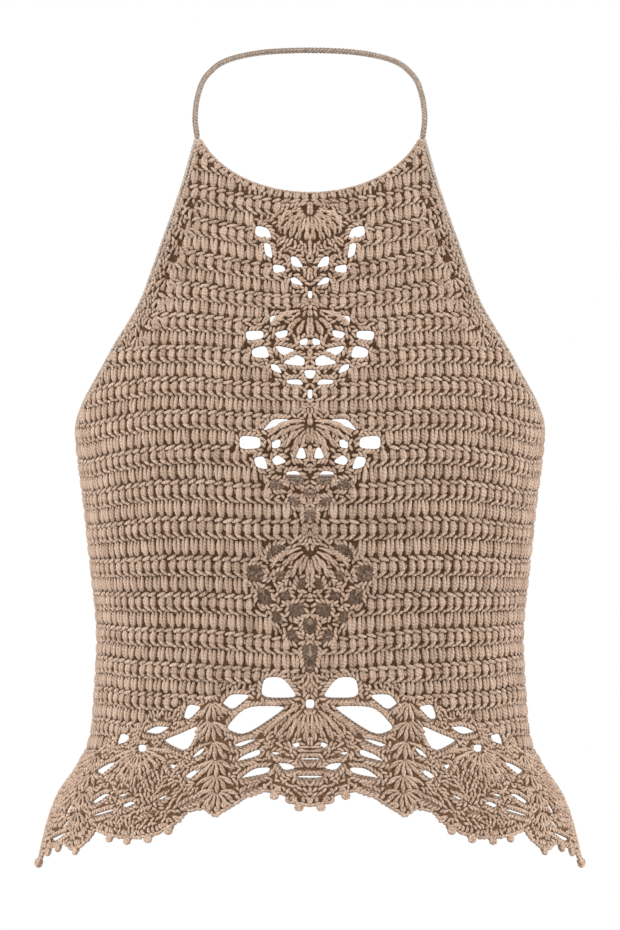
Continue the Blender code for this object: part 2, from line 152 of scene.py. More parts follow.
# Openings in the lace, each by the pixels at its four corners in turn, read off the photograph
Opening = namedtuple("Opening", "far_x far_y top_x top_y near_x near_y low_x low_y")
COLUMN_OPENINGS = (
    Opening(254.5, 235.5, 256, 225, 268.5, 228, 272.5, 240.5),
    Opening(263.5, 241, 270, 242, 273, 259, 265, 255),
    Opening(273, 264, 284.5, 266, 285.5, 271.5, 273.5, 273.5),
    Opening(290.5, 256, 297.5, 257, 304, 268, 291.5, 266),
    Opening(290, 278, 296, 277, 304.5, 286, 292, 283.5),
    Opening(312.2, 291, 307.8, 291, 307.8, 298, 312.2, 298),
    Opening(270, 316, 282, 315, 277, 320.5, 270, 323),
    Opening(245, 331, 263.5, 330.5, 263.5, 338.5, 247, 341),
    Opening(274, 332.5, 288, 329.5, 287, 336.5, 278, 339),
    Opening(251.5, 349, 266, 345, 270, 358, 252.5, 357.5),
    Opening(274.5, 345, 296.5, 349.5, 285, 356, 279, 352.5),
    Opening(299.5, 340, 307.5, 337.5, 308, 345, 300, 345),
    Opening(281, 363.5, 296, 354, 305, 358.5, 304, 366.5),
    Opening(270.5, 363.5, 278, 365, 282.5, 374, 271.5, 370),
    Opening(316.5, 370, 303.5, 370, 306.5, 378.5, 313.5, 378.5),
    Opening(285.5, 380, 300, 379, 304, 385, 288, 384),
    Opening(312.6, 389.5, 307.4, 389.5, 307.8, 398.5, 312.2, 398.5),
    Opening(263, 430, 273, 418.5, 292, 419.5, 266, 430),
    Opening(239.5, 435.5, 260, 437, 261, 448.5, 239.5, 449.5),
    Opening(272, 440, 281, 439.5, 280, 447.5, 272, 449),
    Opening(253.5, 458, 264, 456, 268.5, 470, 256, 467.5),
    Opening(271.5, 460, 277.5, 454.5, 287.5, 462, 275, 466),
    Opening(300, 447, 304, 448.5, 306.5, 459, 295, 458.5),
    Opening(284.5, 472.5, 298, 470.5, 305.5, 483, 292, 486),
    Opening(269.5, 479, 279.5, 480, 286, 488.5, 270.5, 490),
    Opening(317, 489.5, 303, 489.5, 304.5, 498, 315.5, 498),
    Opening(288, 496.5, 298.5, 498.5, 304.5, 507.5, 290.5, 505),
    Opening(316, 507.5, 304, 507.5, 305.5, 523, 314.5, 523),
    Opening(267, 553, 274, 544.5, 289, 545.5, 268, 560),
    Opening(247.5, 565, 263, 565.5, 263, 581.5, 247.5, 580.5),
    Opening(275, 573, 286.5, 569.5, 283.5, 579, 278, 581),
    Opening(257.5, 587, 270, 590, 272.5, 604.5, 258.5, 603),
    Opening(278.5, 592.5, 289.5, 591, 291, 598.5, 281, 600),
    Opening(299.5, 577.5, 305, 579, 305, 588.5, 296, 588.5),
    Opening(289, 603.5, 304, 602.5, 304.5, 614, 290.5, 617.5),
    Opening(272.5, 610.5, 279.5, 611, 283.5, 624, 273, 621),
    Opening(317.5, 618, 302.5, 618, 305, 632.5, 315, 632.5),
    Opening(285.5, 630.5, 294.5, 628.5, 300.5, 642, 288.5, 639.5),
    Opening(318.5, 644, 301.5, 644, 306, 670.5, 314, 670.5),
)
HEM_OPENINGS = (
    Opening(314.5, 698, 305.5, 698, 306, 709, 314, 709),
    Opening(260, 698.5, 263.5, 676, 283, 675.5, 300, 698.5),
    Opening(220.5, 705, 230, 692.5, 252.5, 693.5, 233, 711),
    Opening(223, 729, 245, 704.5, 292, 704.5, 244, 737),
    Opening(230, 744.5, 245, 738.5, 263, 736.5, 239, 748),
    Opening(231, 763.5, 243, 753, 260.5, 746, 259.5, 756.5),
    Opening(234.5, 780.5, 254, 765.5, 271, 764.5, 268, 774.5),
    Opening(240, 791.5, 250, 786, 263, 782.5, 250, 789.5),
    Opening(159.5, 740, 182, 731, 200, 723, 186, 753.5),
    Opening(182, 718, 187.5, 702.5, 202.5, 705.5, 188, 720.5),
    Opening(142, 732, 156, 724.5, 171, 726, 157, 735),
    Opening(115, 745, 119.5, 732, 129, 734.5, 126, 741.5),
    Opening(137, 743, 146, 743, 146, 752, 137, 752),
    Opening(167.5, 762, 176.5, 762.5, 173, 770, 170, 768),
    Opening(190.5, 759.5, 195, 751, 204, 745, 204, 752.5),
    Opening(182.5, 776, 192, 768.5, 205.5, 764.5, 189, 780.5),
    Opening(153.5, 799.5, 163, 794, 170, 792, 161, 801),
    Opening(178, 806, 192, 797.5, 205.5, 794.5, 190, 802.5),
    Opening(138, 812.5, 145, 809, 153, 807, 152, 811),
    Opening(119.5, 804.5, 130, 799, 138, 801.5, 124, 809),
    Opening(117, 793.5, 125, 791, 127, 795, 119, 797.5),
    Opening(275, 760, 291, 761, 298.5, 768.5, 284, 772),
    Opening(269.5, 750, 278, 749.5, 283, 753.5, 273.5, 756),
    Opening(290.5, 743, 298.5, 739.5, 301, 745.5, 295, 749),
    Opening(321.5, 755.5, 298.5, 755.5, 299, 760.5, 321, 760.5),
    Opening(324.5, 773, 295.5, 773, 297, 779, 323, 779),
    Opening(94.5, 769.5, 108, 761.5, 118.5, 759.5, 101, 775),
    Opening(90, 801, 103.5, 791.5, 111, 792.5, 94, 804.5),
    Opening(90.5, 814, 112.5, 806.5, 114.5, 810.5, 92.5, 817),
    Opening(49.5, 838.5, 63, 832, 68, 831, 54, 841.5),
    Opening(89.5, 784, 95, 785.5, 104.5, 780, 95, 789),
    Opening(64.5, 812, 70, 803, 73, 803.5, 67, 813),
    Opening(60, 827.5, 66, 820, 69.5, 820, 62, 828),
    Opening(113, 778, 117, 771, 122, 771.5, 118, 780),
)

# The middle line of the neck strap's right half, from the bib's corner to the nape
StrapPoint = namedtuple("StrapPoint", "across depth drop")
STRAP_RADIUS = 2.1
STRAP = (
    StrapPoint(74.5, -106.2, 60.2),
    StrapPoint(76, -101.5, 49),
    StrapPoint(75.6, -93.5, 39.3),
    StrapPoint(74.2, -84, 31.2),
    StrapPoint(71, -70, 21.7),
    StrapPoint(66, -55, 15),
    StrapPoint(59, -39, 9.2),
    StrapPoint(47, -20, 4.6),
    StrapPoint(28, -4.5, 1.2),
    StrapPoint(0, STRAP_RADIUS, 0),
)

# The thin cloth that carries the stitches lies inside the outer face. Its dark outer faces are painted
# shade between and behind the stitches.
CLOTH_LIFT = -1.45
CLOTH_THICK = 0.3

# Ridges of the solid rows, as drops where the cloth is 73 mm from the middle, and how far they
# sink below that towards the middle and the sides
RIDGES = (49, 70.2, 91.5, 113.4, 135.9, 157.1, 177.7, 198.2, 219.5, 240.7, 263.9, 287.1, 311.6,
          337.5, 362, 385.9, 409.1, 429.6, 450, 471, 492)
BEND_ACROSS = (20, 46, 73, 99, 126, 142)
Bend = namedtuple("Bend", "drop centre inner outer far side")
BENDS = (
    Bend(96, 10, 6, 0, 0, 0),
    Bend(144, 9.3, 5.3, 0, 0, 0),
    Bend(160, 7.3, 4.6, -2, -2, -2),
    Bend(177, 3.3, 2.7, -1.3, -0.7, -0.7),
    Bend(194, 3.3, 2.7, 0, 1.3, 2),
    Bend(227, 4, 2.7, 0, 4.6, 9.3),
    Bend(260, 2, 1.3, 1.3, 6, 10.6),
    Bend(293, 4, 2.7, 0.7, 4, 7.3),
    Bend(326, 0.7, 1.3, 0, 2.7, 4),
    Bend(359, 1.3, 1.3, 0, 0, 0),
    Bend(392, 6, 2.7, -0.7, -1.3, -3.3),
    Bend(409, 3.3, 1.3, -1.3, -2.7, -5.3),
)

# The strands of one two-row repeat: their ends as a place along the stitch and a share of the
# repeat's height, how far their middle bows sideways, their lift and their radius
STITCH = 6.3
Loop = namedtuple("Loop", "along share to_along to_share bow lift radius")
STITCH_LOOPS = (
    Loop(-0.6, 0.05, 5.8, -0.04, 0.4, -0.85, 1.55),
    Loop(2.9, 0.06, 2.2, 0.38, -0.25, -0.95, 1.9),
    Loop(4.1, 0.06, 3.4, 0.37, 0.2, -1.05, 1.85),
    Loop(1.3, 0.34, 5.6, 0.475, 0.3, -0.8, 1.55),
    Loop(-1.4, 0.45, 2.6, 0.50, 0.2, -1.2, 1.2),
    Loop(-0.1, 0.10, 0.2, 0.34, 0.0, -2.0, 1.2),
    Loop(1.9, 0.51, 2.8, 0.93, -0.35, -0.9, 1.8),
    Loop(4.4, 0.51, 3.8, 0.93, 0.35, -1.0, 1.75),
    Loop(0.1, 0.60, -0.1, 0.88, 0.0, -2.0, 1.2),
)

# The outline of each leaf motif in the lace column
LeafRow = namedtuple("LeafRow", "drop half_width")
LEAVES = (
    (LeafRow(103, 0), LeafRow(105, 20), LeafRow(114, 25), LeafRow(120, 36), LeafRow(126, 36),
     LeafRow(136, 32), LeafRow(146, 26), LeafRow(156, 15), LeafRow(164, 4), LeafRow(168, 0)),
    (LeafRow(169, 0), LeafRow(172, 12), LeafRow(178, 29), LeafRow(185, 40), LeafRow(190, 45),
     LeafRow(196, 42), LeafRow(206, 38), LeafRow(214, 27), LeafRow(223, 15), LeafRow(229, 3),
     LeafRow(234, 0)),
    (LeafRow(237, 0), LeafRow(242, 14), LeafRow(246, 30), LeafRow(255, 36), LeafRow(258, 46),
     LeafRow(264, 47), LeafRow(274, 38), LeafRow(286, 28), LeafRow(299, 15), LeafRow(306, 5),
     LeafRow(317, 0)),
    (LeafRow(321, 0), LeafRow(326, 12), LeafRow(329, 30), LeafRow(342, 38), LeafRow(352, 41),
     LeafRow(366, 34), LeafRow(378, 26), LeafRow(390, 15), LeafRow(397, 6), LeafRow(410, 4),
     LeafRow(412, 0)),
)

# Thick posts of the fans: where each starts and ends, how far it bows and how wide it grows
Post = namedtuple("Post", "across drop to_across to_drop bow width")
COLUMN_POSTS = (
    Post(4.6, 108.2, 20.0, 122.4, 8, 2.4),
    Post(4.0, 109.8, 17.0, 123.6, 3.6, 2.6),
    Post(3.0, 111.2, 13.4, 125.8, 1.3, 2.4),
    Post(2.2, 112.6, 8.6, 127.2, 0.5, 2.6),
    Post(1.0, 112, 2.6, 127.2, 0.0, 1.6),
    Post(6.6, 174.4, 26, 183.5, 2.5, 2.2),
    Post(6.2, 179.5, 13.9, 187, 0.8, 2.0),
    Post(3.6, 181, 8.0, 190.5, 0.5, 2.0),
    Post(0.9, 179, 1.2, 192.3, 0, 1.2),
    Post(3.3, 247.3, 27.8, 257.5, 4, 2.0),
    Post(4.0, 250, 25.2, 260.2, 2, 2.2),
    Post(4.0, 252.2, 17.6, 265.0, 1.6, 2.2),
    Post(2.7, 254, 11.6, 267.5, 1.2, 2.2),
    Post(1.3, 256, 6.4, 263.5, 0.5, 2.0),
    Post(1.2, 252, 1.4, 262, 0, 1.2),
    Post(0, 263.5, 0, 273.5, 0, 2.4),
    Post(6.0, 331.3, 26.0, 344, 3, 2.2),
    Post(4.6, 334, 17.8, 343.0, 1.5, 2.2),
    Post(3.3, 336, 12.6, 350.5, 1, 2.2),
    Post(1.6, 337, 7.0, 349, 0.5, 2.0),
    Post(0.8, 339, 1.6, 354, 0.2, 1.4),
)
HEM_POSTS = (
    Post(6, 434.3, 31.0, 454.0, 1.5, 2.2),
    Post(5.6, 438.0, 22.5, 456.5, 1.0, 2.2),
    Post(4.4, 440.2, 15.5, 457.5, 0.8, 2.2),
    Post(2.7, 440.8, 9.2, 456.5, 0.4, 2.2),
    Post(0.9, 440.5, 3.2, 458.5, 0.2, 2.0),
)

# Shells of strands that spread from one place: bearings are from straight down, away from the middle
Shell = namedtuple("Shell", "across drop first last posts start length")
HEM_SHELLS = (
    Shell(65, 432.5, -60, 60, 6, 1.5, 12),
    Shell(65, 445, -57, 57, 6, 1.5, 13),
    Shell(63.5, 458, -57, 57, 6, 1.5, 13),
    Shell(62, 470, -57, 57, 6, 1.5, 12.5),
    Shell(61.3, 480.5, -60, 60, 6, 1.5, 12.5),
    Shell(61, 490.5, -78, 78, 8, 2.5, 11.5),
    Shell(111.7, 463.2, -98, 72, 12, 5.0, 19),
    Shell(141.2, 467.5, -50, 40, 4, 1.5, 13),
    Shell(145, 480, -50, 40, 4, 1.5, 13),
    Shell(149.5, 492.5, -50, 40, 4, 1.5, 13),
    Shell(153.5, 505, -50, 40, 4, 1.5, 12.5),
)
BIB_SHELLS = (
    Shell(77.6, 104.8, -55, 50, 4, 2.4, 7.5),
    Shell(82.2, 118.7, -60, 50, 5, 2.4, 7.5),
    Shell(85.5, 129.9, -60, 50, 5, 2.4, 7.0),
    Shell(90.2, 140.6, -60, 50, 5, 2.4, 7.5),
    Shell(94.1, 151.8, -60, 50, 5, 2.4, 8.5),
    Shell(97.5, 165.8, -60, 50, 5, 2.4, 8.0),
    Shell(104.1, 177.7, -60, 50, 5, 2.4, 8.0),
    Shell(112.7, 190.3, -60, 40, 5, 2.4, 7.5),
)
Eyelet = namedtuple("Eyelet", "across drop")
BIB_EYELETS = (
    Eyelet(69.6, 112.7),
    Eyelet(76.9, 135.9),
    Eyelet(81.5, 147.2),
    Eyelet(84.9, 159.1),
    Eyelet(90.8, 171.1),
    Eyelet(98.1, 182.3),
)
EYELET_SIZE = 3.8
BIB_SHELL_WIDTH = 1.5
HEM_SHELL_WIDTH = 1.35
SHELL_RADIUS = 1.15

# A shell's posts: their bow where they lie level, the range of their length, and how clear they stay of
# the top edge and of the hem's openings, and the hem's upright stitches of those too
SHELL_BOW = 0.9
SHELL_LENGTHS = (0.94, 1.06)
SHELLS_FROM_TOP = 2.2
SHELLS_FROM_HEM = 0.2
UPRIGHTS_FROM_HEM = 1.0

# The band of small shells along the armhole: its width, its drops, and the degrees by which it
# reaches past the bib's corner towards the middle
SHELL_BAND = 16.0
SHELL_BAND_TOP = 100.0
SHELL_BAND_LOW = 198.0
SHELL_BAND_TURN = 4.0

# Straight bars across the middle of the hem: their drops, and how far they reach to each side
BAR_DROPS = (462.3, 464.9, 467.2)
BAR_HALF = 7.2
BAR_RADIUS = 1.1
BAR_SHAPE = ((0, 0, -0.7), (BAR_HALF / 2, 0, -0.6), (BAR_HALF, 0, -1.1))

# The two strands of a thick post go once round each other in this length
ROPE_LAY = 15.0
ROPE_RADIUS = 1.3
ROPE_POINTS = 6

# How light the yarn is at a strand's sides, in red, green and blue, where its neighbours shade it
SIDE_SHADE = (0.40, 0.28, 0.19)

# The yarn's plies, the length in which they go round once, the length over which their start is left
# to chance, how bluntly a strand thins to its ends, and how much the groove between the plies, a
# strand's own tint, the nap and the dye change its colour. The groove's change is painted shade in it
# and painted light on the plies' crests.
PLIES = 2
PLY_LAY = 4.8
PLY_START = 40.0
SWELL_POWER = 0.7
PLY_GROOVE_SHADE = 0.28
TINT_SHARE = 0.38
NAP_SHARE = 0.44
DYE_SHARE = 0.30

# A rim's rounded outline: its points, and how square it is, where 2 would be an ellipse
RIM_POINTS = 24
RIM_SQUARENESS = 4.0

# The short strands round an opening: their least number, their spacing, how far in they lie, their
# lean, their radius and their shape. Every shape of a strand is points of (forward, sideways, lift).
RIM_FEWEST = 5
RIM_STEP = 2.6
RIM_INSET = 1.75
RIM_LEAN = math.radians(38)
RIM_RADIUS = 1.2
RIM_SHAPE = ((-2.2, 0, -1.4), (0, 0.15, -0.65), (2.2, 0, -1.4))

# The nubs that fill the cloth: the grid that they are chosen from, how far apart they are kept, their
# radius, half their length, and the bow and the lift of their shape. The rows' nubs, the lace's and
# the flank's coarse ones differ.
ROWS_GRID = 1.5
LACE_GRID = 1.4
ROWS_NUB_GAP = 2.4
COLUMN_NUB_GAP = 2.3
HEM_NUB_GAP = 2.4
COARSE_NUB_GAP = 3.1
NUB_RADIUS = 1.15
COARSE_NUB_RADIUS = 1.5
NUB_HALF_LENGTH = (1.7, 2.4)
NUB_SHAPE = ((0, 0, -1.5), (0, 0.25, -0.9), (0, 0, -1.5))

# The staggered grid of places: the distance between its rows, as a share of its pitch, and how far a
# place strays
LATTICE_ROWS = 0.87
LATTICE_STRAY = 0.25

# Where nubs are placed: how far from the middle, and between which drops
Field = namedtuple("Field", "width low high")
FRONT_FIELD = Field(236, 60, 478)
BACK_FIELD = Field(236, 250, 478)
COLUMN_FIELD = Field(50, 100, 415)
HEM_FIELD = Field(235, 412, 545)

# How clear the nubs stay: of the top edge, of the column's, the hem's and the bib's small openings on
# the rows, of openings in the lace, of the hem's edge, of short strands and of thick posts. The rows
# leave cloth bare this far from their strands, or nearer where a strand is cut away. On the rows the
# nubs run a little past the seam, and in the hem they start a little below it.
NUBS_FROM_TOP = 3.0
NUBS_FROM_COLUMN = 2.2
NUBS_FROM_HEM = 2.0
NUBS_FROM_EYELET = 1.0
NUBS_FROM_LACE = 1.7
NUBS_FROM_EDGE = 2.2
NUBS_FROM_STRAND = 1.75
NUBS_FROM_COLUMN_POST = 2.5
NUBS_FROM_HEM_POST = 2.3
BARE_ON_ROWS = 2.9
BARE_BESIDE_CUT = 1.9
NUBS_PAST_SEAM = 0.5
NUBS_BELOW_SEAM = 1.0

# Rims further off than about this aren't measured, and the distance that stands for none being near
RIM_REACH = 9.0
FAR_OFF = 1e3

# Within this distance of a rim, nubs follow the rim
NUB_FOLLOWS_RIM = 5.5

# How far a nub turns at most from straight down, how far above it its apex is taken to be at least,
# and its chance: how far it strays from that turn, and how far it leans off the line of a rim
NUB_TURN = 0.9
NUB_APEX_DROP = 4.0
NUB_STRAY = 0.3
NUB_LEAN = (0.3, 0.8)

# Apexes of the column's four motifs and of the hem's middle fan, from which the nubs turn away, and how
# much the hem's nubs do so, where 1 would be all the way
COLUMN_APEXES = ((0, 102), (0, 169), (0, 242), (0, 325))
HEM_APEX = (0, 433)
HEM_SPREAD = 0.6

# Chance in the rows' stitches: the range of their width, how far a post sways and leans, how far an
# end strays along, down (as a share of the repeat) and out, and the range of the yarn's thickness
STITCH_RANGE = (0.96, 1.04)
POST_SWAY = 0.22
POST_LEAN = 0.25
STRAY = (0.18, 0.011, 0.12)
YARN_RANGE = (0.9, 1.08)

# How far a loop's two ends sink below its middle, and the points of a row's curve
LOOP_SINK = (-0.35, 0.0, -0.35)
ROW_POINTS = 1500

# How clear the rows stay of the top edge and of the openings, and how far they run past the seam
ROWS_FROM_TOP = 2.6
ROWS_FROM_OPENING = 0.9
ROWS_PAST_SEAM = 1.5

# Stitches along an edge: their spacing, how loosely they turn, their radius and their shape
EdgeStitch = namedtuple("EdgeStitch", "spacing loose radius shape")
NECK_STITCHES = (
    EdgeStitch(5.6, 0.12, 1.4, ((0.2, -1.9, -1.3), (-0.5, -4.2, -0.8), (0.3, -6.9, -1.4))),
    EdgeStitch(5.6, 0.12, 1.3, ((1.7, -1.9, -1.4), (1.8, -4.2, -1.0), (1.3, -6.9, -1.5))),
    EdgeStitch(2.9, 0.05, 1.0, ((-2.1, -1.0, -1.5), (0, -1.4, -1.1), (2.1, -1.9, -1.5))),
)
TOP_STITCHES = (
    EdgeStitch(2.9, 0.05, 1.25, ((-2.4, -1.2, -1.5), (0, -1.4, -1.0), (2.4, -1.7, -1.5))),
    EdgeStitch(3.2, 0.05, 1.2, ((-2.0, -4.6, -1.6), (0, -3.7, -1.0), (2.0, -3.0, -1.6))),
)
HEM_EDGE = EdgeStitch(3.3, 0.2, 1.25, ((-2.1, 0.4, -1.3), (0, 1.0, -0.7), (2.1, 1.9, -1.3)))
HEM_UPRIGHT = EdgeStitch(3.1, 0.45, 1.35, ((-0.5, 2.2, -1.2), (0.3, 3.8, -0.7), (0.4, 6.2, -1.3)))

# The ball of three crossing strands at the hem's side point, set in from the last point of the hem
TIP_INSET = (-1.0, -3.2)
TIP_BEARINGS = (-0.9, 0.1, 1.1)
TIP_RADIUS = 2.9
TIP_SHAPE = ((-2.6, 0, -2.4), (0, 0.3, -0.6), (2.6, 0, -2.2))

# A picot's three strands: how far each swings to the side and how far it reaches down
PicotStrand = namedtuple("PicotStrand", "swing reach")
PICOT_STRANDS = (PicotStrand(-1.7, 3.2), PicotStrand(0.0, PICOT_DROP + 0.5), PicotStrand(1.7, 3.2))
PICOT_RADIUS = 1.4

# The neck strap's loops: how many lie round it, the step from one to the next along it, how far
# each winds round, its length, how far out its ends and its middle lie, and the radii of its yarn
# and of the core
STRAP_LOOPS = 4
STRAP_PITCH = 2.6
STRAP_WIND = 0.75
STRAP_LOOP_LENGTH = 3.8
STRAP_LOOP_ENDS = 1.1
STRAP_LOOP_MIDDLE = 1.45
STRAP_YARN_RADIUS = 0.72
STRAP_CORE_RADIUS = 1.35
STRAP_POINTS = 341

# The soft lights, in metres and watts, most of them turned to the middle of the garment
Lamp = namedtuple("Lamp", "name place look_at size power")
GARMENT_MIDDLE = (0, -0.1, -0.28)
LAMPS = (
    Lamp("key", (-1.6, -3.0, 1.9), GARMENT_MIDDLE, 1.6, 49),
    Lamp("fill", (2.2, -2.6, 0.4), GARMENT_MIDDLE, 2.0, 17),
    Lamp("top", (0, -0.7, 1.6), (0, 0, -0.35), 0.8, 18),
    Lamp("side", (-2.4, -0.5, 0.1), GARMENT_MIDDLE, 1.6, 62),
    Lamp("side", (2.4, -0.5, 0.1), GARMENT_MIDDLE, 1.6, 62),
)

# The floor and the camera, in metres, apart from the sensor's millimetres. The frame is as high as
# the photograph is at the garment.
FLOOR_REACH = 2.6
FLOOR_LEVEL = -0.75
CAMERA_DISTANCE = 16.0
CAMERA_FRAME = 0.6166
CAMERA_SENSOR = 36.0
CAMERA_LEVEL = -0.2765

# How far the thin cloth stays inside the top edges and above the hem's edge, the steps of its outline
# and of its grid, and how far the grid stays from an opening
CLOTH_INSET = 1.8
HEM_CLOTH_SHORT = 0.6
CLOTH_STEP = 6.0
CLOTH_GRID = 6.5
GRID_FROM_RIM = 1.2


def hermite(rows, at, place, column):
    """The column's values at places, on a smooth curve through the rows."""
    spots = np.array([getattr(row, place) for row in rows], float)
    values = np.array([getattr(row, column) for row in rows], float)
    low = np.maximum(np.arange(len(rows)) - 1, 0)
    high = np.minimum(np.arange(len(rows)) + 1, len(rows) - 1)
    slopes = (values[high] - values[low]) / (spots[high] - spots[low])
    index = np.clip(np.searchsorted(spots, at) - 1, 0, len(rows) - 2)
    span = spots[index + 1] - spots[index]
    t = np.clip((at - spots[index]) / span, 0.0, 1.0)
    return (
        values[index] * (2 * t**3 - 3 * t**2 + 1)
        + slopes[index] * span * (t**3 - 2 * t**2 + t)
        + values[index + 1] * (3 * t**2 - 2 * t**3)
        + slopes[index + 1] * span * (t**3 - t**2)
    )


def wrapped(around):
    """Distances around brought within half a turn of the centre front."""
    return (around + HALF_GIRTH) % (2 * HALF_GIRTH) - HALF_GIRTH


def cloth_point(around, drop):
    """The points of the cloth's outer face."""
    turn = wrapped(around) / AROUND_RADIUS
    half_width = hermite(FIGURE, drop, "drop", "half_width")
    before = np.abs(turn) <= SIDE_TURN
    depth = np.where(
        before, hermite(FIGURE, drop, "drop", "front"), hermite(FIGURE, drop, "drop", "back")
    )
    fullness = np.clip((drop - FLUTE_START) / (FLUTE_FULL - FLUTE_START), 0.0, 1.0)
    pull = FLUTE_DEPTH * fullness * (1 - np.cos(FLUTES * turn)) / 2
    across = (half_width - pull) * np.sin(turn)
    return np.stack([across, SEAM_DEPTH - (depth - pull) * np.cos(turn), -drop + 0 * turn], -1)


def unit(vectors):
    """The vectors at length 1."""
    return vectors / np.maximum(np.linalg.norm(vectors, axis=-1, keepdims=True), 1e-9)


def on_cloth(places):
    """The points at places of (around, drop, lift), and the directions out of the cloth there."""
    around, drop, lift = places[..., 0], places[..., 1], places[..., 2]
    step = 0.5
    along = cloth_point(around + step, drop) - cloth_point(around - step, drop)
    down = cloth_point(around, drop + step) - cloth_point(around, drop - step)
    out = unit(np.cross(down, along))
    return cloth_point(around, drop) + out * lift[..., None], out


def stretch(around, drop):
    """How many real millimetres one of distance around and one of drop are."""
    step = 0.5
    along = cloth_point(around + step, drop) - cloth_point(around - step, drop)
    down = cloth_point(around, drop + step) - cloth_point(around, drop - step)
    return np.linalg.norm(along, axis=-1), np.linalg.norm(down, axis=-1)


def around_at(across, drop):
    """The distances around at which the front is this far from its middle plane."""
    across, drop = np.asarray(across, float), np.asarray(drop, float)
    low, high = 0 * across, 0 * across + SIDE
    for _ in range(30):
        middle = (low + high) / 2
        short = cloth_point(middle, drop)[..., 0] < across
        low, high = np.where(short, middle, low), np.where(short, high, middle)
    return (low + high) / 2


# Strands of one kind: their places, their radius, their rings, and how thick their ends are to it
Strands = namedtuple("Strands", "places radius rings taper", defaults=(5, 0.55))


class Yarn:
    """Strands of yarn for one piece, gathered in blocks of the same make."""

    def __init__(self):
        self.blocks = []

    def add(self, places, radius, rings=5, sides=6, taper=0.55):
        """Strands through places, an array of strand, point and (around, drop, lift)."""
        if len(places):
            self.blocks.append((places, np.broadcast_to(radius, len(places)), rings, sides, taper))

    def build(self, name, material, points_of=on_cloth):
        """The piece as one mesh."""
        parts = []
        first = 0
        for block in self.blocks:
            parts.append(strand_mesh(block, first, points_of))
            first += len(parts[-1][0])
        points, corners, sizes, plies, tints, tops = (np.concatenate(part) for part in zip(*parts))
        mesh = bpy.data.meshes.new(name)
        mesh.vertices.add(len(points))
        mesh.vertices.foreach_set("co", (points * MM).astype(np.float32).ravel())
        mesh.loops.add(len(corners))
        mesh.loops.foreach_set("vertex_index", corners.astype(np.int32))
        mesh.polygons.add(len(sizes))
        mesh.polygons.foreach_set("loop_start", (np.cumsum(sizes) - sizes).astype(np.int32))
        mesh.uv_layers.new(name="ply")
        mesh.uv_layers["ply"].uv.foreach_set("vector", plies.astype(np.float32).ravel())
        for label, values in (("tint", tints), ("top", tops)):
            layer = mesh.attributes.new(label, "FLOAT", "POINT")
            layer.data.foreach_set("value", values.astype(np.float32))
        mesh.update(calc_edges=True)
        mesh.shade_smooth()
        mesh.materials.append(material)
        return placed(name, mesh)


def placed(name, data):
    """A new object with its data, in the scene."""
    made = bpy.data.objects.new(name, data)
    bpy.context.scene.collection.objects.link(made)
    return made


def strand_mesh(block, first, points_of):
    """A block's points, face corners, face sizes, places along and round the plies, tints and tops.

    The corners count on from the first point's number. A point's top is 1 on a strand's upper and
    lower side and 0 at its flanks, which the yarn's material darkens as painted shade.
    """
    places, radius, rings, sides, taper = block
    count = len(places)
    spots, out = points_of(through(places, rings))
    tangent = unit(np.gradient(spots, axis=1))
    side = unit(np.cross(out, tangent))
    lift = np.cross(tangent, side)
    swell = taper + (1 - taper) * np.sin(np.pi * np.linspace(0, 1, rings)) ** SWELL_POWER
    size = (radius[:, None] * swell[None, :])[..., None, None]
    angle = np.arange(sides) / sides * 2 * np.pi
    ring = side[:, :, None] * np.cos(angle)[:, None] + lift[:, :, None] * np.sin(angle)[:, None]
    points = (spots[:, :, None] + ring * size).reshape(-1, 3)
    faces, face_sizes, ring_of, turn_of = tube_faces(rings, sides)
    starts = first + np.arange(count) * rings * sides
    corners = (starts[:, None] + faces[None]).ravel()
    steps = np.linalg.norm(np.diff(spots, axis=1), axis=-1)
    length = np.concatenate([np.zeros((count, 1)), np.cumsum(steps, axis=1)], axis=1)
    length += CHANCE.uniform(0, PLY_START, (count, 1))
    plies = np.stack([length[:, ring_of], np.broadcast_to(turn_of, (count, len(turn_of)))], -1)
    tints = np.repeat(CHANCE.uniform(0, 1, count), rings * sides)
    tops = np.tile(np.abs(np.sin(angle)), count * rings)
    return points, corners, np.tile(face_sizes, count), plies.reshape(-1, 2), tints, tops


def tube_faces(rings, sides):
    """One strand's face corners, face sizes, and each corner's ring and share of a turn."""
    faces, sizes, ring_of, turn_of = [], [], [], []
    for ring in range(rings - 1):
        for side in range(sides):
            after = (side + 1) % sides
            faces += [ring * sides + side, ring * sides + after]
            faces += [(ring + 1) * sides + after, (ring + 1) * sides + side]
            ring_of += [ring, ring, ring + 1, ring + 1]
            turn_of += [side / sides, (side + 1) / sides, (side + 1) / sides, side / sides]
            sizes.append(4)
    last = (rings - 1) * sides
    for start, order, ring in ((0, range(sides - 1, -1, -1), 0), (last, range(sides), rings - 1)):
        faces += [start + side for side in order]
        ring_of += [ring] * sides
        turn_of += [side / sides for side in order]
        sizes.append(sides)
    return np.array(faces), np.array(sizes), np.array(ring_of), np.array(turn_of)


def through(places, rings):
    """Points on the smooth curves through each strand's places, one for each ring."""
    count = places.shape[1]
    weights = np.zeros((rings, count))
    for ring in range(rings):
        at = ring / (rings - 1) * (count - 1)
        index = min(int(at), count - 2)
        t = at - index
        shares = (
            (-t + 2 * t**2 - t**3) / 2,
            (2 - 5 * t**2 + 3 * t**3) / 2,
            (t + 4 * t**2 - 3 * t**3) / 2,
            (-(t**2) + t**3) / 2,
        )
        for step, share in zip((-1, 0, 1, 2), shares):
            weights[ring, min(max(index + step, 0), count - 1)] += share
    return np.einsum("rk,skc->src", weights, places)


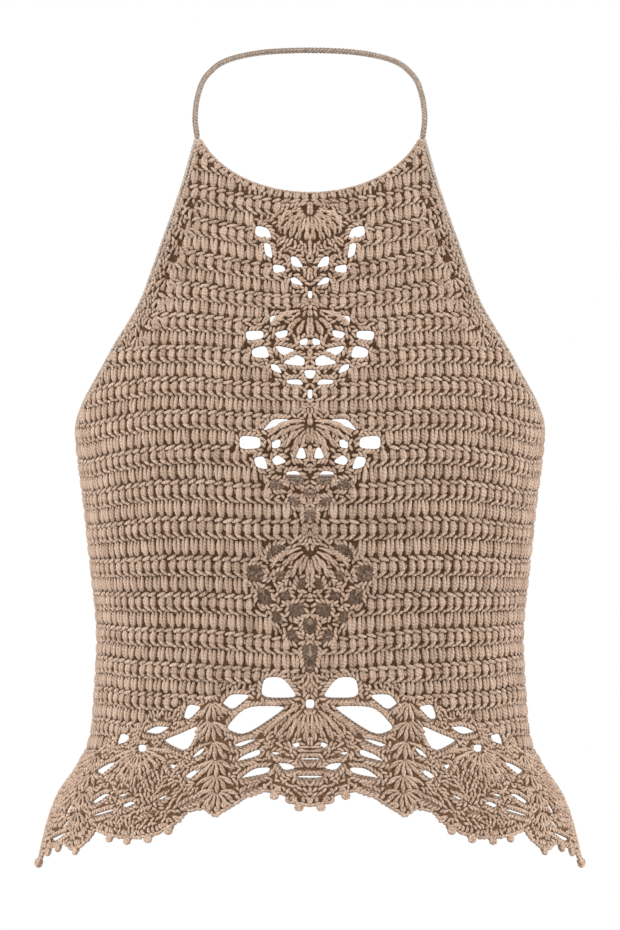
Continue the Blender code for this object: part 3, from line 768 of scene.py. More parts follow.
def stamped(spots, bearings, shape):
    """Strands of one shape, set at spots and turned to bearings.

    A shape's points are (forward, sideways, lift) in millimetres. A bearing is an angle from
    straight down, towards larger distances around.
    """
    shape = np.broadcast_to(np.asarray(shape, float), (len(spots),) + np.shape(shape)[-2:])
    forward, sideways = shape[..., 0], shape[..., 1]
    sine, cosine = np.sin(bearings)[:, None], np.cos(bearings)[:, None]
    wide, tall = stretch(spots[:, 0], spots[:, 1])
    around = spots[:, :1] + (forward * sine + sideways * cosine) / wide[:, None]
    drop = spots[:, 1:2] + (forward * cosine - sideways * sine) / tall[:, None]
    return np.stack([around, drop, shape[..., 2]], -1)


def rounded_rim(ends):
    """A rim with rounded corners, as places of (around, drop), from four ends of (across, drop)."""
    bearing = 2 * np.pi * (np.arange(RIM_POINTS) + 0.5) / RIM_POINTS
    x, y = np.cos(bearing), np.sin(bearing)
    size = (np.abs(x) ** RIM_SQUARENESS + np.abs(y) ** RIM_SQUARENESS) ** (1 / RIM_SQUARENESS)
    x, y = x / size, y / size
    shares = [(1 - x) * (1 - y), (1 + x) * (1 - y), (1 + x) * (1 + y), (1 - x) * (1 + y)]
    rim = np.stack(shares, -1) / 4 @ ends
    return np.stack([np.sign(rim[:, 0]) * around_at(np.abs(rim[:, 0]), rim[:, 1]), rim[:, 1]], -1)


def opening_rim(opening):
    """The rim of an opening that is given in the photograph's pixels."""
    pixels = np.array(opening, float).reshape(4, 2)
    return rounded_rim((pixels - (MIDDLE_PIXEL, NAPE_PIXEL)) * (-PIXEL, PIXEL))


def within(points, loop):
    """Whether each point lies inside a closed loop."""
    found = np.zeros(len(points), bool)
    for (x1, y1), (x2, y2) in zip(loop, np.roll(loop, -1, axis=0)):
        if y1 == y2:
            continue
        crosses = (y1 > points[:, 1]) != (y2 > points[:, 1])
        found ^= crosses & (points[:, 0] < x1 + (points[:, 1] - y1) * (x2 - x1) / (y2 - y1))
    return found


def nearest_rim(places, rims):
    """How far each place on the right half is outside the nearest rim, and that rim's bearing there."""
    flat = places[..., :2].reshape(-1, 2)
    nearest, bearings = np.full(len(flat), FAR_OFF), np.zeros(len(flat))
    for rim in rims:
        low, high = rim.min(axis=0) - RIM_REACH, rim.max(axis=0) + RIM_REACH
        close = np.flatnonzero(((flat > low) & (flat < high)).all(axis=1))
        if not len(close):
            continue
        step = np.roll(rim, -1, axis=0) - rim
        away = flat[close][:, None] - rim
        share = np.clip((away * step).sum(axis=-1) / (step**2).sum(axis=-1), 0, 1)
        distances = np.linalg.norm(away - share[..., None] * step, axis=-1)
        chosen = np.argmin(distances, axis=1)
        distance = distances[np.arange(len(close)), chosen]
        distance[within(flat[close], rim)] *= -1
        nearer = distance < nearest[close]
        nearest[close[nearer]] = distance[nearer]
        run = step[chosen[nearer]]
        bearings[close[nearer]] = np.arctan2(run[:, 0], run[:, 1])
    return nearest.reshape(places.shape[:-1]), bearings.reshape(places.shape[:-1])


def gap_clearance(places, rims):
    """How far each place on the right half is outside the nearest rim."""
    return nearest_rim(places, rims)[0]


COLUMN_RIMS = [opening_rim(opening) for opening in COLUMN_OPENINGS]
HEM_RIMS = [opening_rim(opening) for opening in HEM_OPENINGS]


def top_drop(around):
    """The drop of the cloth's top edge: the neckline, the armhole and the low back."""
    turn = np.degrees(np.abs(around) / AROUND_RADIUS)
    across = AROUND_RADIUS * np.sin(np.minimum(np.abs(around) / AROUND_RADIUS, SIDE_TURN))
    bow = np.sqrt(np.maximum(1 - (across / NECKLINE_HALF_WIDTH) ** 2, 0.0))
    neck = NECKLINE_CENTRE + NECKLINE_DEPTH * bow
    arm = hermite(ARMHOLE, turn, "turn", "drop")
    back = hermite(BACK_EDGE, turn, "turn", "drop")
    neck = np.maximum(neck, ARMHOLE[0].drop)
    return np.where(turn < ARMHOLE[0].turn, neck, np.where(turn < ARMHOLE[-1].turn, arm, back))


def top_clearance(places):
    """How far each place lies below the top edge, square to the edge."""
    around, drop = places[..., 0], places[..., 1]
    edge = top_drop(around)
    slope = (top_drop(around + 1.0) - top_drop(around - 1.0)) / 2
    return (drop - edge) / np.sqrt(1 + slope**2)


def table_line(rows):
    """A table's places of (around, drop) as an array."""
    return np.array([(row.around, row.drop) for row in rows], float)


def seam_drop(around):
    """The drop of the seam between the rows and the lace hem."""
    line = table_line(LACE_SEAM)
    folded = np.abs(around)
    folded = np.where(folded > SIDE, HALF_GIRTH - folded, folded)
    return np.interp(folded, line[:, 0], line[:, 1])


def hem_drop(around):
    """The drop of the hem's lower edge, from the middle line of its panel."""
    line = table_line(HEM)
    return np.interp(np.abs(around), line[:, 0], line[:, 1])


def in_leaf(places):
    """Whether places on the right half lie in a leaf motif."""
    found = np.zeros(places.shape[:-1], bool)
    across = AROUND_RADIUS * np.sin(places[..., 0] / AROUND_RADIUS)
    for rows in LEAVES:
        drops = [row.drop for row in rows]
        widths = [row.half_width for row in rows]
        found |= np.abs(across) < np.interp(places[..., 1], drops, widths, left=-1, right=-1)
    return found


def in_shell_band(places):
    """Whether places on the right half lie in the band of small shells along the armhole."""
    drop = places[..., 1]
    beside = places[..., 0] > math.radians(ARMHOLE[0].turn - SHELL_BAND_TURN) * AROUND_RADIUS
    level = (drop > SHELL_BAND_TOP) & (drop < SHELL_BAND_LOW)
    return beside & level & (arm_clearance(places) < SHELL_BAND)


def arm_clearance(places):
    """How far places are from the armhole's edge, level with them, square to the edge."""
    line = armhole()
    edge = np.interp(places[..., 1], line[:, 1], line[:, 0])
    slope = np.gradient(line[:, 0], line[:, 1])
    return (edge - places[..., 0]) / np.sqrt(1 + np.interp(places[..., 1], line[:, 1], slope) ** 2)


def ridge_line(index, around):
    """The drop of one ridge of the rows at distances around."""
    columns = [
        np.interp(RIDGES[index], [b.drop for b in BENDS], [getattr(b, column) for b in BENDS])
        for column in ("centre", "inner", "outer", "far", "side")
    ]
    columns.insert(2, 0.0)
    across = AROUND_RADIUS * np.sin(np.minimum(np.abs(around) / AROUND_RADIUS, SIDE_TURN))
    return RIDGES[index] + np.interp(across, BEND_ACROSS, columns)


def row_loops():
    """The rows' strands on the right half, front and back: (places, radius) for each row and loop."""
    found = []
    for index in range(len(RIDGES) - 1):
        fine = np.linspace(0, HALF_GIRTH, ROW_POINTS)
        middle = (ridge_line(index, fine) + ridge_line(index + 1, fine)) / 2
        lengths = np.linalg.norm(np.diff(cloth_point(fine, middle), axis=0), axis=-1)
        reach = np.concatenate([[0], np.cumsum(lengths)])
        count = round(reach[-1] / STITCH * CHANCE.uniform(*STITCH_RANGE))
        pitch = reach[-1] / count
        far_ends = np.interp((np.arange(count) + 1) * pitch, reach, fine)
        wide = np.interp(far_ends, fine, np.gradient(reach, fine))
        sway = CHANCE.normal(0, POST_SWAY, (count, 1))
        sway = sway + CHANCE.normal(0, POST_LEAN, (count, 1)) * (1, 0, -1)
        for loop in STITCH_LOOPS:
            along = np.array([loop.along, (loop.along + loop.to_along) / 2 + loop.bow, loop.to_along])
            share = np.array([loop.share, (loop.share + loop.to_share) / 2, loop.to_share])
            jitter = CHANCE.normal(0, 1, (count, 3, 3)) * STRAY
            across = far_ends[:, None] - (along * pitch / STITCH + jitter[..., 0] + sway) / wide[:, None]
            top, bottom = ridge_line(index, across), ridge_line(index + 1, across)
            drop = top + (bottom - top) * (share + jitter[..., 1])
            lift = loop.lift + np.array(LOOP_SINK) + jitter[..., 2]
            places = np.stack([across, drop, lift], -1)
            found.append((places, loop.radius * CHANCE.uniform(*YARN_RANGE, count)))
    return found


def row_strands(start, end):
    """The rows' strands between two distances around, on the right half.

    Returns (places, radius) for each row and loop, without the strands that openings and edges cut
    away, and then the places of those.
    """
    kept, cut = [], []
    for places, radius in row_loops():
        middle = places[:, 1]
        front = middle[:, 0] < SIDE
        inside = (middle[:, 0] >= start) & (middle[:, 0] < end)
        keep = inside & (top_clearance(places) > ROWS_FROM_TOP).all(axis=1)
        keep &= (places[..., 1] < seam_drop(places[..., 0]) + ROWS_PAST_SEAM).all(axis=1)
        keep &= ~((in_leaf(middle) | in_shell_band(middle)) & front)
        keep &= (gap_clearance(places, COLUMN_RIMS) > ROWS_FROM_OPENING).all(axis=1) | ~front
        folded = np.where(places[..., 0] > SIDE, HALF_GIRTH - places[..., 0], places[..., 0])
        folded = np.stack([folded, places[..., 1]], -1)
        keep &= (gap_clearance(folded, HEM_RIMS) > ROWS_FROM_OPENING).all(axis=1)
        kept.append((places[keep], radius[keep]))
        cut.append(places[inside & ~keep])
    return kept, cut


def flipped(places, side):
    """Places of the right half, on the side asked for: 1 is the right and -1 the left."""
    return places * (side, 1, 1)


def rim_strands(rims, panel_turn=0.0):
    """Short leaning strands round every opening, which meet those of the next one as a braid."""
    spots, bearings = [], []
    for rim in rims:
        wide, tall = stretch(rim[:1, 0] + panel_turn, rim[:1, 1])
        scale = np.array([wide[0], tall[0]])
        loop = np.concatenate([rim, rim[:1]]) * scale
        run = np.diff(loop, axis=0)
        reach = np.concatenate([[0], np.cumsum(np.hypot(run[:, 0], run[:, 1]))])
        count = max(RIM_FEWEST, round(reach[-1] / RIM_STEP))
        at = (np.arange(count) + CHANCE.uniform(0, 0.3, count)) * reach[-1] / count
        slot = np.clip(np.searchsorted(reach, at) - 1, 0, len(run) - 1)
        along = unit(run[slot])
        out = np.stack([along[:, 1], -along[:, 0]], -1)
        middle = loop[:-1].mean(axis=0)
        spot = np.stack([np.interp(at, reach, loop[:, i]) for i in (0, 1)], -1)
        out *= np.sign(((spot - middle) * out).sum(axis=1))[:, None]
        along *= np.where(along[:, :1] > 0, -1, 1)
        aim = along * math.cos(RIM_LEAN) + out * math.sin(RIM_LEAN)
        spots.append((spot + out * RIM_INSET) / scale)
        bearings.append(np.arctan2(aim[:, 0], aim[:, 1]))
    spots, bearings = np.concatenate(spots), np.concatenate(bearings)
    keep = spots[:, 0] > -0.6
    return stamped(spots[keep], bearings[keep], RIM_SHAPE)


def fill_strands(spots, rims, apexes, spread):
    """Nubs at spots: near a rim leaning off its line, and elsewhere turned from the nearest apex above.

    The turn away from the apex is the bearing from it times the spread, so a spread of 0 gives upright
    nubs.
    """
    apexes = np.asarray(apexes, float)
    away = spots[:, None] - apexes[None]
    reach = np.hypot(away[..., 0], away[..., 1]) + np.where(away[..., 1] < 0, 60, 0)
    chosen = away[np.arange(len(spots)), np.argmin(reach, axis=1)]
    bearings = np.arctan2(chosen[:, 0], np.maximum(chosen[:, 1], NUB_APEX_DROP)) * spread
    bearings = np.clip(bearings, -NUB_TURN, NUB_TURN) + CHANCE.normal(0, NUB_STRAY, len(spots))
    distance, along = nearest_rim(spots, rims)
    turned = along + CHANCE.choice((-1, 1), len(spots)) * CHANCE.uniform(*NUB_LEAN, len(spots))
    bearings = np.where(distance < NUB_FOLLOWS_RIM, turned, bearings)
    length = CHANCE.uniform(*NUB_HALF_LENGTH, (len(spots), 1, 1)) * ((1, 0, 0),)
    shape = length * np.array([-1, 0, 1.0])[:, None] + NUB_SHAPE
    return stamped(spots, bearings, shape)


def distances(spots, strands, panel_turn=0.0):
    """How far each spot is from the nearest strand's middle line, in real millimetres."""
    covered = np.concatenate([through(places, 5)[..., :2].reshape(-1, 2) for places in strands])
    points = cloth_point(covered[:, 0] + panel_turn, covered[:, 1])
    tree = KDTree(len(points))
    for index, point in enumerate(points.tolist()):
        tree.insert(point, index)
    tree.balance()
    places = cloth_point(spots[:, 0] + panel_turn, spots[:, 1])
    return np.array([tree.find(place)[2] for place in places.tolist()]).reshape(len(spots))


def left_bare(spots, rows, cut, others=()):
    """The spots that the rows and other strands leave bare, apart from the slits between stitches."""
    far = distances(spots, rows)
    beside_cut = (far > BARE_BESIDE_CUT) & (distances(spots, cut) < NUBS_FROM_LACE)
    spots = spots[(far > BARE_ON_ROWS) | beside_cut]
    return spots[distances(spots, others) > BARE_BESIDE_CUT] if len(others) else spots


def thinned(spots, gap, recent=400):
    """The spots, left out where one of the recent ones that are kept lies within the gap."""
    kept = []
    for spot in spots.tolist():
        if all((spot[0] - x) ** 2 + (spot[1] - y) ** 2 >= gap * gap for x, y in kept[-recent:]):
            kept.append(spot)
    return np.array(kept).reshape(-1, 2)


def lattice(width, low, high, pitch):
    """A staggered grid of places on the right half."""
    spots = []
    step = pitch * LATTICE_ROWS
    for row in range(int((high - low) / step) + 1):
        shift = pitch / 2 * (row % 2)
        for column in range(int(width / pitch) + 1):
            spots.append((column * pitch + shift, low + row * step))
    spots = np.array(spots, float)
    return spots + CHANCE.normal(0, LATTICE_STRAY, spots.shape)


def rope(spot, bearing, start, length, bow, width):
    """The two strands of a thick post, which wind round each other from its root to its end."""
    share = np.linspace(0, 1, ROPE_POINTS)
    swing = width / 2 * np.minimum(0.25 + share * 1.9, 1.0)
    turned = 2 * np.pi * length / ROPE_LAY * share + CHANCE.uniform(-0.3, 0.5)
    strands = []
    for phase in (turned, turned + np.pi):
        sideways = 4 * bow * 0.85 * share * (1 - share) + swing * np.cos(phase)
        lift = -0.75 + 0.5 * np.sin(phase) - 0.5 * (share * 2 - 1) ** 4
        strands.append(np.stack([start + share * length, sideways, lift], -1))
    spots = np.repeat(np.asarray(spot, float)[None], 2, axis=0)
    return stamped(spots, np.full(2, bearing), np.array(strands))


def post_strands(posts):
    """The strands of thick posts that are given by their two ends."""
    strands = []
    for post in posts:
        start = np.array([around_at(post.across, post.drop), post.drop], float)
        end = np.array([around_at(post.to_across, post.to_drop), post.to_drop], float)
        run = (end - start) * stretch(start[0], start[1])
        bearing = math.atan2(run[0], run[1])
        strands.append(rope(start, bearing, 0, math.hypot(*run), post.bow, post.width))
    return np.concatenate(strands)


def shell_strands(shells, width):
    """The spreading posts of each shell."""
    strands = []
    for shell in shells:
        spot = (float(around_at(shell.across, shell.drop)), shell.drop)
        for bearing in np.radians(np.linspace(shell.first, shell.last, shell.posts)):
            length = shell.length * CHANCE.uniform(*SHELL_LENGTHS)
            bow = SHELL_BOW * math.sin(bearing)
            strands.append(rope(spot, bearing, shell.start, length, bow, width))
    return np.concatenate(strands)


def path_strands(line, stitch):
    """One edge stitch's strands at even real steps along a line of (around, drop) places.

    Forward is along the line and positive sideways is up where the line leads to larger distances
    around. Loose strands turn by chance, by about that angle.
    """
    line = np.asarray(line, float)
    fine = [line[:1]]
    for start, end in zip(line, line[1:]):
        steps = max(2, int(math.dist(start, end) / 0.5))
        fine.append(start + (end - start) * (np.arange(1, steps + 1) / steps)[:, None])
    fine = np.concatenate(fine)
    spots = cloth_point(fine[:, 0], fine[:, 1])
    reach = np.concatenate([[0], np.cumsum(np.linalg.norm(np.diff(spots, axis=0), axis=-1))])
    count = max(2, round(reach[-1] / stitch.spacing))
    at = (np.arange(count) + 0.5) * reach[-1] / count
    here = np.stack([np.interp(at, reach, fine[:, i]) for i in (0, 1)], -1)
    ahead = np.stack([np.interp(at + 0.7, reach, fine[:, i]) for i in (0, 1)], -1)
    behind = np.stack([np.interp(at - 0.7, reach, fine[:, i]) for i in (0, 1)], -1)
    wide, tall = stretch(here[:, 0], here[:, 1])
    run = (ahead - behind) * np.stack([wide, tall], -1)
    bearings = np.arctan2(run[:, 0], run[:, 1]) + CHANCE.normal(0, stitch.loose, len(run))
    return stamped(here, bearings, stitch.shape)


def neckline():
    """The right half of the neckline, from the middle to the bib's corner."""
    line = []
    steps = 60
    for i in range(steps + 1):
        lean = math.asin(NECKLINE_END / NECKLINE_HALF_WIDTH) * i / steps
        drop = NECKLINE_CENTRE + NECKLINE_DEPTH * math.cos(lean)
        line.append((float(around_at(NECKLINE_HALF_WIDTH * math.sin(lean), drop)), drop))
    return np.array(line)


def armhole():
    """The armhole's edge, from the bib's corner to the side."""
    turns = np.linspace(ARMHOLE[0].turn, ARMHOLE[-1].turn, 61)
    return np.stack([np.radians(turns) * AROUND_RADIUS, hermite(ARMHOLE, turns, "turn", "drop")], -1)


def back_top():
    """The low back's edge, from the side to the centre back."""
    turns = np.linspace(BACK_EDGE[0].turn, BACK_EDGE[-1].turn, 41)
    drops = hermite(BACK_EDGE, turns, "turn", "drop")
    return np.stack([np.radians(turns) * AROUND_RADIUS, drops], -1)


def moved_in(line, distance):
    """A line of (around, drop) places moved to its right, looking along it."""
    along = unit(np.gradient(line, axis=0))
    return line + np.stack([-along[:, 1], along[:, 0]], -1) * distance


def cut_flat(outline, rims):
    """A panel's points of (around, drop) and its triangles, from the right half of its outline.

    The outline runs from the middle line at the top, over the side, to the middle line below.
    """
    left = outline[1:-1][::-1] * (-1, 1)
    loops = [np.concatenate([outline, left])]
    for rim in rims:
        loops.append(rim)
        if rim[:, 0].mean() > 0.5:
            loops.append(rim * (-1, 1))
    points, edges = [], []
    for loop in loops:
        base = len(points)
        points += [Vector(point) for point in loop]
        edges += [(base + i, base + (i + 1) % len(loop)) for i in range(len(loop))]
    grid = lattice(outline[:, 0].max(), outline[:, 1].min(), outline[:, 1].max(), CLOTH_GRID)
    grid = np.concatenate([grid, grid * (-1, 1)])
    keep = (gap_clearance(np.abs(grid), rims) > GRID_FROM_RIM) & within(grid, loops[0])
    points += [Vector(point) for point in grid[keep]]
    flat, _, faces, _, _, _ = delaunay_2d_cdt(points, edges, [], 1, 1e-5)
    flat = np.array(flat)
    corners = np.array([face for face in faces if len(face) == 3])
    middles = flat[corners].mean(axis=1)
    keep = within(middles, loops[0]) & (gap_clearance(np.abs(middles), rims) > -0.05)
    corners = corners[keep]
    a, b, c = (flat[corners[:, i]] for i in range(3))
    cross = (b[:, 0] - a[:, 0]) * (c[:, 1] - a[:, 1]) - (b[:, 1] - a[:, 1]) * (c[:, 0] - a[:, 0])
    corners[cross > 0] = corners[cross > 0][:, ::-1]
    used, corners = np.unique(corners, return_inverse=True)
    return flat[used], corners.reshape(-1, 3)


def cloth_shell(name, outline, rims, backing, panel_turn=0.0):
    """A thin panel of cloth with its openings, on the panel whose middle line is panel_turn round."""
    flat, corners = cut_flat(outline, rims)
    lift = np.full(len(flat), CLOTH_LIFT)
    spots, _ = on_cloth(np.stack([flat[:, 0] + panel_turn, flat[:, 1], lift], -1))
    mesh = bpy.data.meshes.new(name)
    mesh.from_pydata((spots * MM).tolist(), [], corners.tolist())
    mesh.shade_smooth()
    # The outer faces take the backing's painted shade and the inner faces the inside's painted light
    mesh.materials.append(backing)
    mesh.materials.append(PAINTED_LIGHT_INSIDE)
    piece = placed(name, mesh)
    solidify = piece.modifiers.new("Thickness", "SOLIDIFY")
    solidify.thickness = CLOTH_THICK * MM
    solidify.offset = 0.0
    solidify.material_offset = 1
    return piece


def node(tree, kind, inputs=None, **settings):
    """A shader node with its settings, and its inputs linked or given values."""
    made = tree.nodes.new(kind)
    for name, value in settings.items():
        setattr(made, name, value)
    for name, value in (inputs or {}).items():
        if isinstance(value, bpy.types.NodeSocket):
            tree.links.new(value, made.inputs[name])
        else:
            made.inputs[name].default_value = value
    return made


def maths(tree, operation, *values):
    """The result of a Math node."""
    return node(tree, "ShaderNodeMath", dict(enumerate(values)), operation=operation).outputs[0]


def new_material(name):
    """A new material with its node tree and its shader."""
    material = bpy.data.materials.new(name)
    material.use_nodes = True
    tree = material.node_tree
    return material, tree, tree.nodes["Principled BSDF"]


def colour_ramp(tree, share, first, last, *between):
    """The colour at a share, from (position, colour) for each of the ramp's stops."""
    ramp = node(tree, "ShaderNodeValToRGB", {"Fac": share})
    elements = ramp.color_ramp.elements
    for element, (position, colour) in zip(elements, (first, last)):
        element.position = position
        element.color = (*colour, 1)
    for position, colour in between:
        elements.new(position).color = (*colour, 1)
    return ramp.outputs["Color"]


def bumped(tree, shader, height, strength, distance):
    """Gives the shader a bump of this height."""
    inputs = {"Height": height, "Strength": strength, "Distance": distance}
    bump = node(tree, "ShaderNodeBump", inputs)
    tree.links.new(bump.outputs["Normal"], shader.inputs["Normal"])


def yarn_material(name, light, middle, dark):
    """Plied cotton: grooves wind round each strand, with a nap and uneven dye, and painted shade in the
    grooves and at the strand's sides.
    """
    material, tree, shader = new_material(name)
    ply = node(tree, "ShaderNodeUVMap", uv_map="ply").outputs["UV"]
    parts = node(tree, "ShaderNodeSeparateXYZ", {"Vector": ply})
    along = maths(tree, "MULTIPLY", parts.outputs["X"], PLIES / PLY_LAY)
    phase = maths(tree, "MULTIPLY_ADD", parts.outputs["Y"], float(PLIES), along)
    wave = maths(tree, "SINE", maths(tree, "MULTIPLY", phase, 2 * math.pi))
    groove = maths(tree, "MULTIPLY_ADD", wave, 0.5, 0.5)
    place = node(tree, "ShaderNodeTexCoord").outputs["Object"]
    nap = node(tree, "ShaderNodeTexNoise", {"Vector": place, "Scale": 1900.0, "Detail": 2.0})
    dye = node(tree, "ShaderNodeTexNoise", {"Vector": place, "Scale": 55.0, "Detail": 2.0})
    tint = node(tree, "ShaderNodeAttribute", attribute_name="tint").outputs["Fac"]
    # Painted shade in the grooves between the plies and painted light on their crests
    shade = maths(tree, "MULTIPLY_ADD", groove, PLY_GROOVE_SHADE, -PLY_GROOVE_SHADE / 2)
    shade = maths(tree, "MULTIPLY_ADD", tint, TINT_SHARE, shade)
    shade = maths(tree, "MULTIPLY_ADD", nap.outputs["Fac"], NAP_SHARE, shade)
    shade = maths(tree, "MULTIPLY_ADD", dye.outputs["Fac"], DYE_SHARE, shade)
    colour = colour_ramp(tree, shade, (0.12, dark), (0.92, light), (0.5, middle))
    # Painted shade at each strand's flanks, from its top attribute, down to SIDE_SHADE
    top = node(tree, "ShaderNodeAttribute", attribute_name="top").outputs["Fac"]
    open_share = node(tree, "ShaderNodeMapRange", {"Value": top, "From Min": -0.1, "From Max": 0.75})
    flank_shade_span = [1 - part for part in SIDE_SHADE]
    flank_shade = node(tree, "ShaderNodeVectorMath", {0: open_share.outputs["Result"], 1: flank_shade_span, 2: SIDE_SHADE},
                operation="MULTIPLY_ADD")
    fibre = maths(tree, "MULTIPLY_ADD", nap.outputs["Fac"], 1.3, 0.32)
    mixed = node(tree, "ShaderNodeHueSaturation", {"Saturation": fibre, "Color": colour})
    coat = node(tree, "ShaderNodeVectorMath", {0: mixed.outputs["Color"], 1: flank_shade.outputs["Vector"]},
                operation="MULTIPLY")
    tree.links.new(coat.outputs["Vector"], shader.inputs["Base Color"])
    height = maths(tree, "MULTIPLY_ADD", nap.outputs["Fac"], 0.35, groove)
    bumped(tree, shader, height, 0.8, 0.0007)
    shader.inputs["Roughness"].default_value = 0.86
    shader.inputs["Specular IOR Level"].default_value = 0.25
    shader.inputs["Sheen Weight"].default_value = 0.05
    shader.inputs["Sheen Roughness"].default_value = 0.5
    return material


def backing_material(name, light, dark):
    """A flat colour for the cloth's faces, with a faint fine texture: painted shade between and behind
    the stitches on the outer faces, painted light on the inner ones.
    """
    material, tree, shader = new_material(name)
    place = node(tree, "ShaderNodeTexCoord").outputs["Object"]
    grain = node(tree, "ShaderNodeTexNoise", {"Vector": place, "Scale": 700.0, "Detail": 3.0})
    colour = colour_ramp(tree, grain.outputs["Fac"], (0.35, dark), (0.7, light))
    tree.links.new(colour, shader.inputs["Base Color"])
    bumped(tree, shader, grain.outputs["Fac"], 0.6, 0.0006)
    shader.inputs["Roughness"].default_value = 0.92
    shader.inputs["Specular IOR Level"].default_value = 0.05
    return material


ROWS = yarn_material("rows_cotton", (0.385, 0.28, 0.212), (0.287, 0.198, 0.143), (0.16, 0.097, 0.063))
NECK = yarn_material("neck_cotton", (0.40, 0.297, 0.229), (0.30, 0.21, 0.152), (0.175, 0.107, 0.07))
LACE = yarn_material("lace_cotton", (0.405, 0.295, 0.222), (0.305, 0.208, 0.148), (0.175, 0.105, 0.068))
EDGE = yarn_material("edge_cotton", (0.36, 0.293, 0.243), (0.278, 0.219, 0.175), (0.17, 0.125, 0.094))
# Painted shade between and behind the stitches, lighter for the hem's lace
SHADED = backing_material("shaded_cotton", (0.085, 0.043, 0.021), (0.032, 0.016, 0.008))
LACE_SHADED = backing_material("shaded_lace_cotton", (0.14, 0.078, 0.044), (0.065, 0.034, 0.018))
# Painted light: the inside faces are far lighter than the yarn, standing for light on the inside seen
# through the openings
PAINTED_LIGHT_INSIDE = backing_material("inside_painted_light", (0.74, 0.60, 0.49), (0.50, 0.38, 0.30))


def front_outline():
    """The right half of the front's thin cloth."""
    arm = moved_in(armhole(), CLOTH_INSET)
    neck = moved_in(neckline(), CLOTH_INSET)
    neck[0, 0] = 0
    arm = arm[arm[:, 1] > neck[-1, 1] + 0.5]
    arm = arm[arm[:, 0] < SIDE - 1]
    corners = [(SIDE, arm[-1, 1] + 1), (SIDE, LACE_SEAM[-1].drop)]
    return spread(np.concatenate([neck[::2], arm[::2], corners, table_line(LACE_SEAM)[::-1]]))


def back_outline():
    """The right half of the back's thin cloth, from the centre back."""
    top = back_top()[::-1] * (-1, 1) + (HALF_GIRTH, CLOTH_INSET)
    top[0, 0] = 0
    corners = [(SIDE, LACE_SEAM[-1].drop)]
    return spread(np.concatenate([top[::2], corners, table_line(LACE_SEAM)[::-1]]))


def hem_outline():
    """The right half of the lace hem's thin cloth, from its middle line."""
    low = table_line(HEM)[::-1] - (0, HEM_CLOTH_SHORT)
    return spread(np.concatenate([table_line(LACE_SEAM), low]))


def spread(line):
    """The line with its long steps divided."""
    points = [line[:1]]
    for start, end in zip(line, line[1:]):
        steps = max(1, math.ceil(math.dist(start, end) / CLOTH_STEP))
        points.append(start + (end - start) * (np.arange(1, steps + 1) / steps)[:, None])
    return np.concatenate(points)


def finish_piece(piece, slot, *nodes):
    """The piece rides on the one body and the nodes that it replaces are hidden; the slot is not used.
    """
    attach(piece, "root")
    if nodes:
        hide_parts(*nodes)


def both_sides(parts, panel_turn=0.0):
    """Yarn of the right half's parts and of their mirror image, on the panel that far round."""
    yarn = Yarn()
    for sign in (1, -1):
        for part in parts:
            places = flipped(part.places, sign) + (panel_turn, 0, 0)
            yarn.add(places, part.radius, part.rings, taper=part.taper)
    return yarn


def dress_rows():
    """The solid rows of the front and the back, each as a left and a right piece."""
    made = {}
    for name, start, end in (("front", 0.0, SIDE), ("back", SIDE, HALF_GIRTH)):
        parts, cut = row_strands(start, end)
        fill = front_extras if name == "front" else back_fill
        parts += fill([places for places, _ in parts], cut)
        for hand, sign in (("right", 1), ("left", -1)):
            yarn = Yarn()
            for places, radius in parts:
                rings = 8 if places.shape[1] == ROPE_POINTS else 4
                yarn.add(flipped(places, sign), radius, rings=rings)
            made[name, hand] = yarn.build(f"{name}_rows_{hand}", ROWS)
    return made


def on_rows(spots):
    """Whether spots lie on the cloth of the rows, clear of its top edge."""
    above = spots[:, 1] < seam_drop(spots[:, 0]) + NUBS_PAST_SEAM
    return (top_clearance(spots) > NUBS_FROM_TOP) & above


def front_extras(rows, cut):
    """The bib's small shells, and nubs wherever the front's rows leave the cloth bare."""
    shells = shell_strands(BIB_SHELLS, BIB_SHELL_WIDTH)
    shells = shells[(top_clearance(shells) > SHELLS_FROM_TOP).all(axis=1)]
    half = EYELET_SIZE / 2
    square = np.array([(half, -half), (-half, -half), (-half, half), (half, half)])
    holes = [rounded_rim(square + (hole.across, hole.drop)) for hole in BIB_SHELLS + BIB_EYELETS]
    posts = post_strands(COLUMN_POSTS)
    rims = rim_strands(COLUMN_RIMS)
    spots = lattice(*FRONT_FIELD, ROWS_GRID)
    keep = on_rows(spots) & (spots[:, 0] >= 0) & ~in_leaf(spots)
    keep &= gap_clearance(spots, COLUMN_RIMS) > NUBS_FROM_COLUMN
    keep &= gap_clearance(spots, holes) > NUBS_FROM_EYELET
    keep &= gap_clearance(spots, HEM_RIMS) > NUBS_FROM_HEM
    spots = left_bare(spots[keep], rows, cut, [shells, posts, rims])
    fills = fill_strands(thinned(spots, ROWS_NUB_GAP), COLUMN_RIMS, [(0, 0)], 0.0)
    return [(shells, SHELL_RADIUS), (fills, NUB_RADIUS)]


def back_fill(rows, cut):
    """Nubs wherever the back's rows leave the cloth bare."""
    spots = lattice(*BACK_FIELD, ROWS_GRID) + (SIDE, 0)
    folded = np.stack([HALF_GIRTH - spots[:, 0], spots[:, 1]], -1)
    keep = on_rows(spots) & (gap_clearance(folded, HEM_RIMS) > NUBS_FROM_HEM)
    keep &= spots[:, 0] < HALF_GIRTH
    spots = left_bare(spots[keep], rows, cut)
    return [(fill_strands(thinned(spots, ROWS_NUB_GAP), (), [(HALF_GIRTH, 0)], 0.0), NUB_RADIUS)]


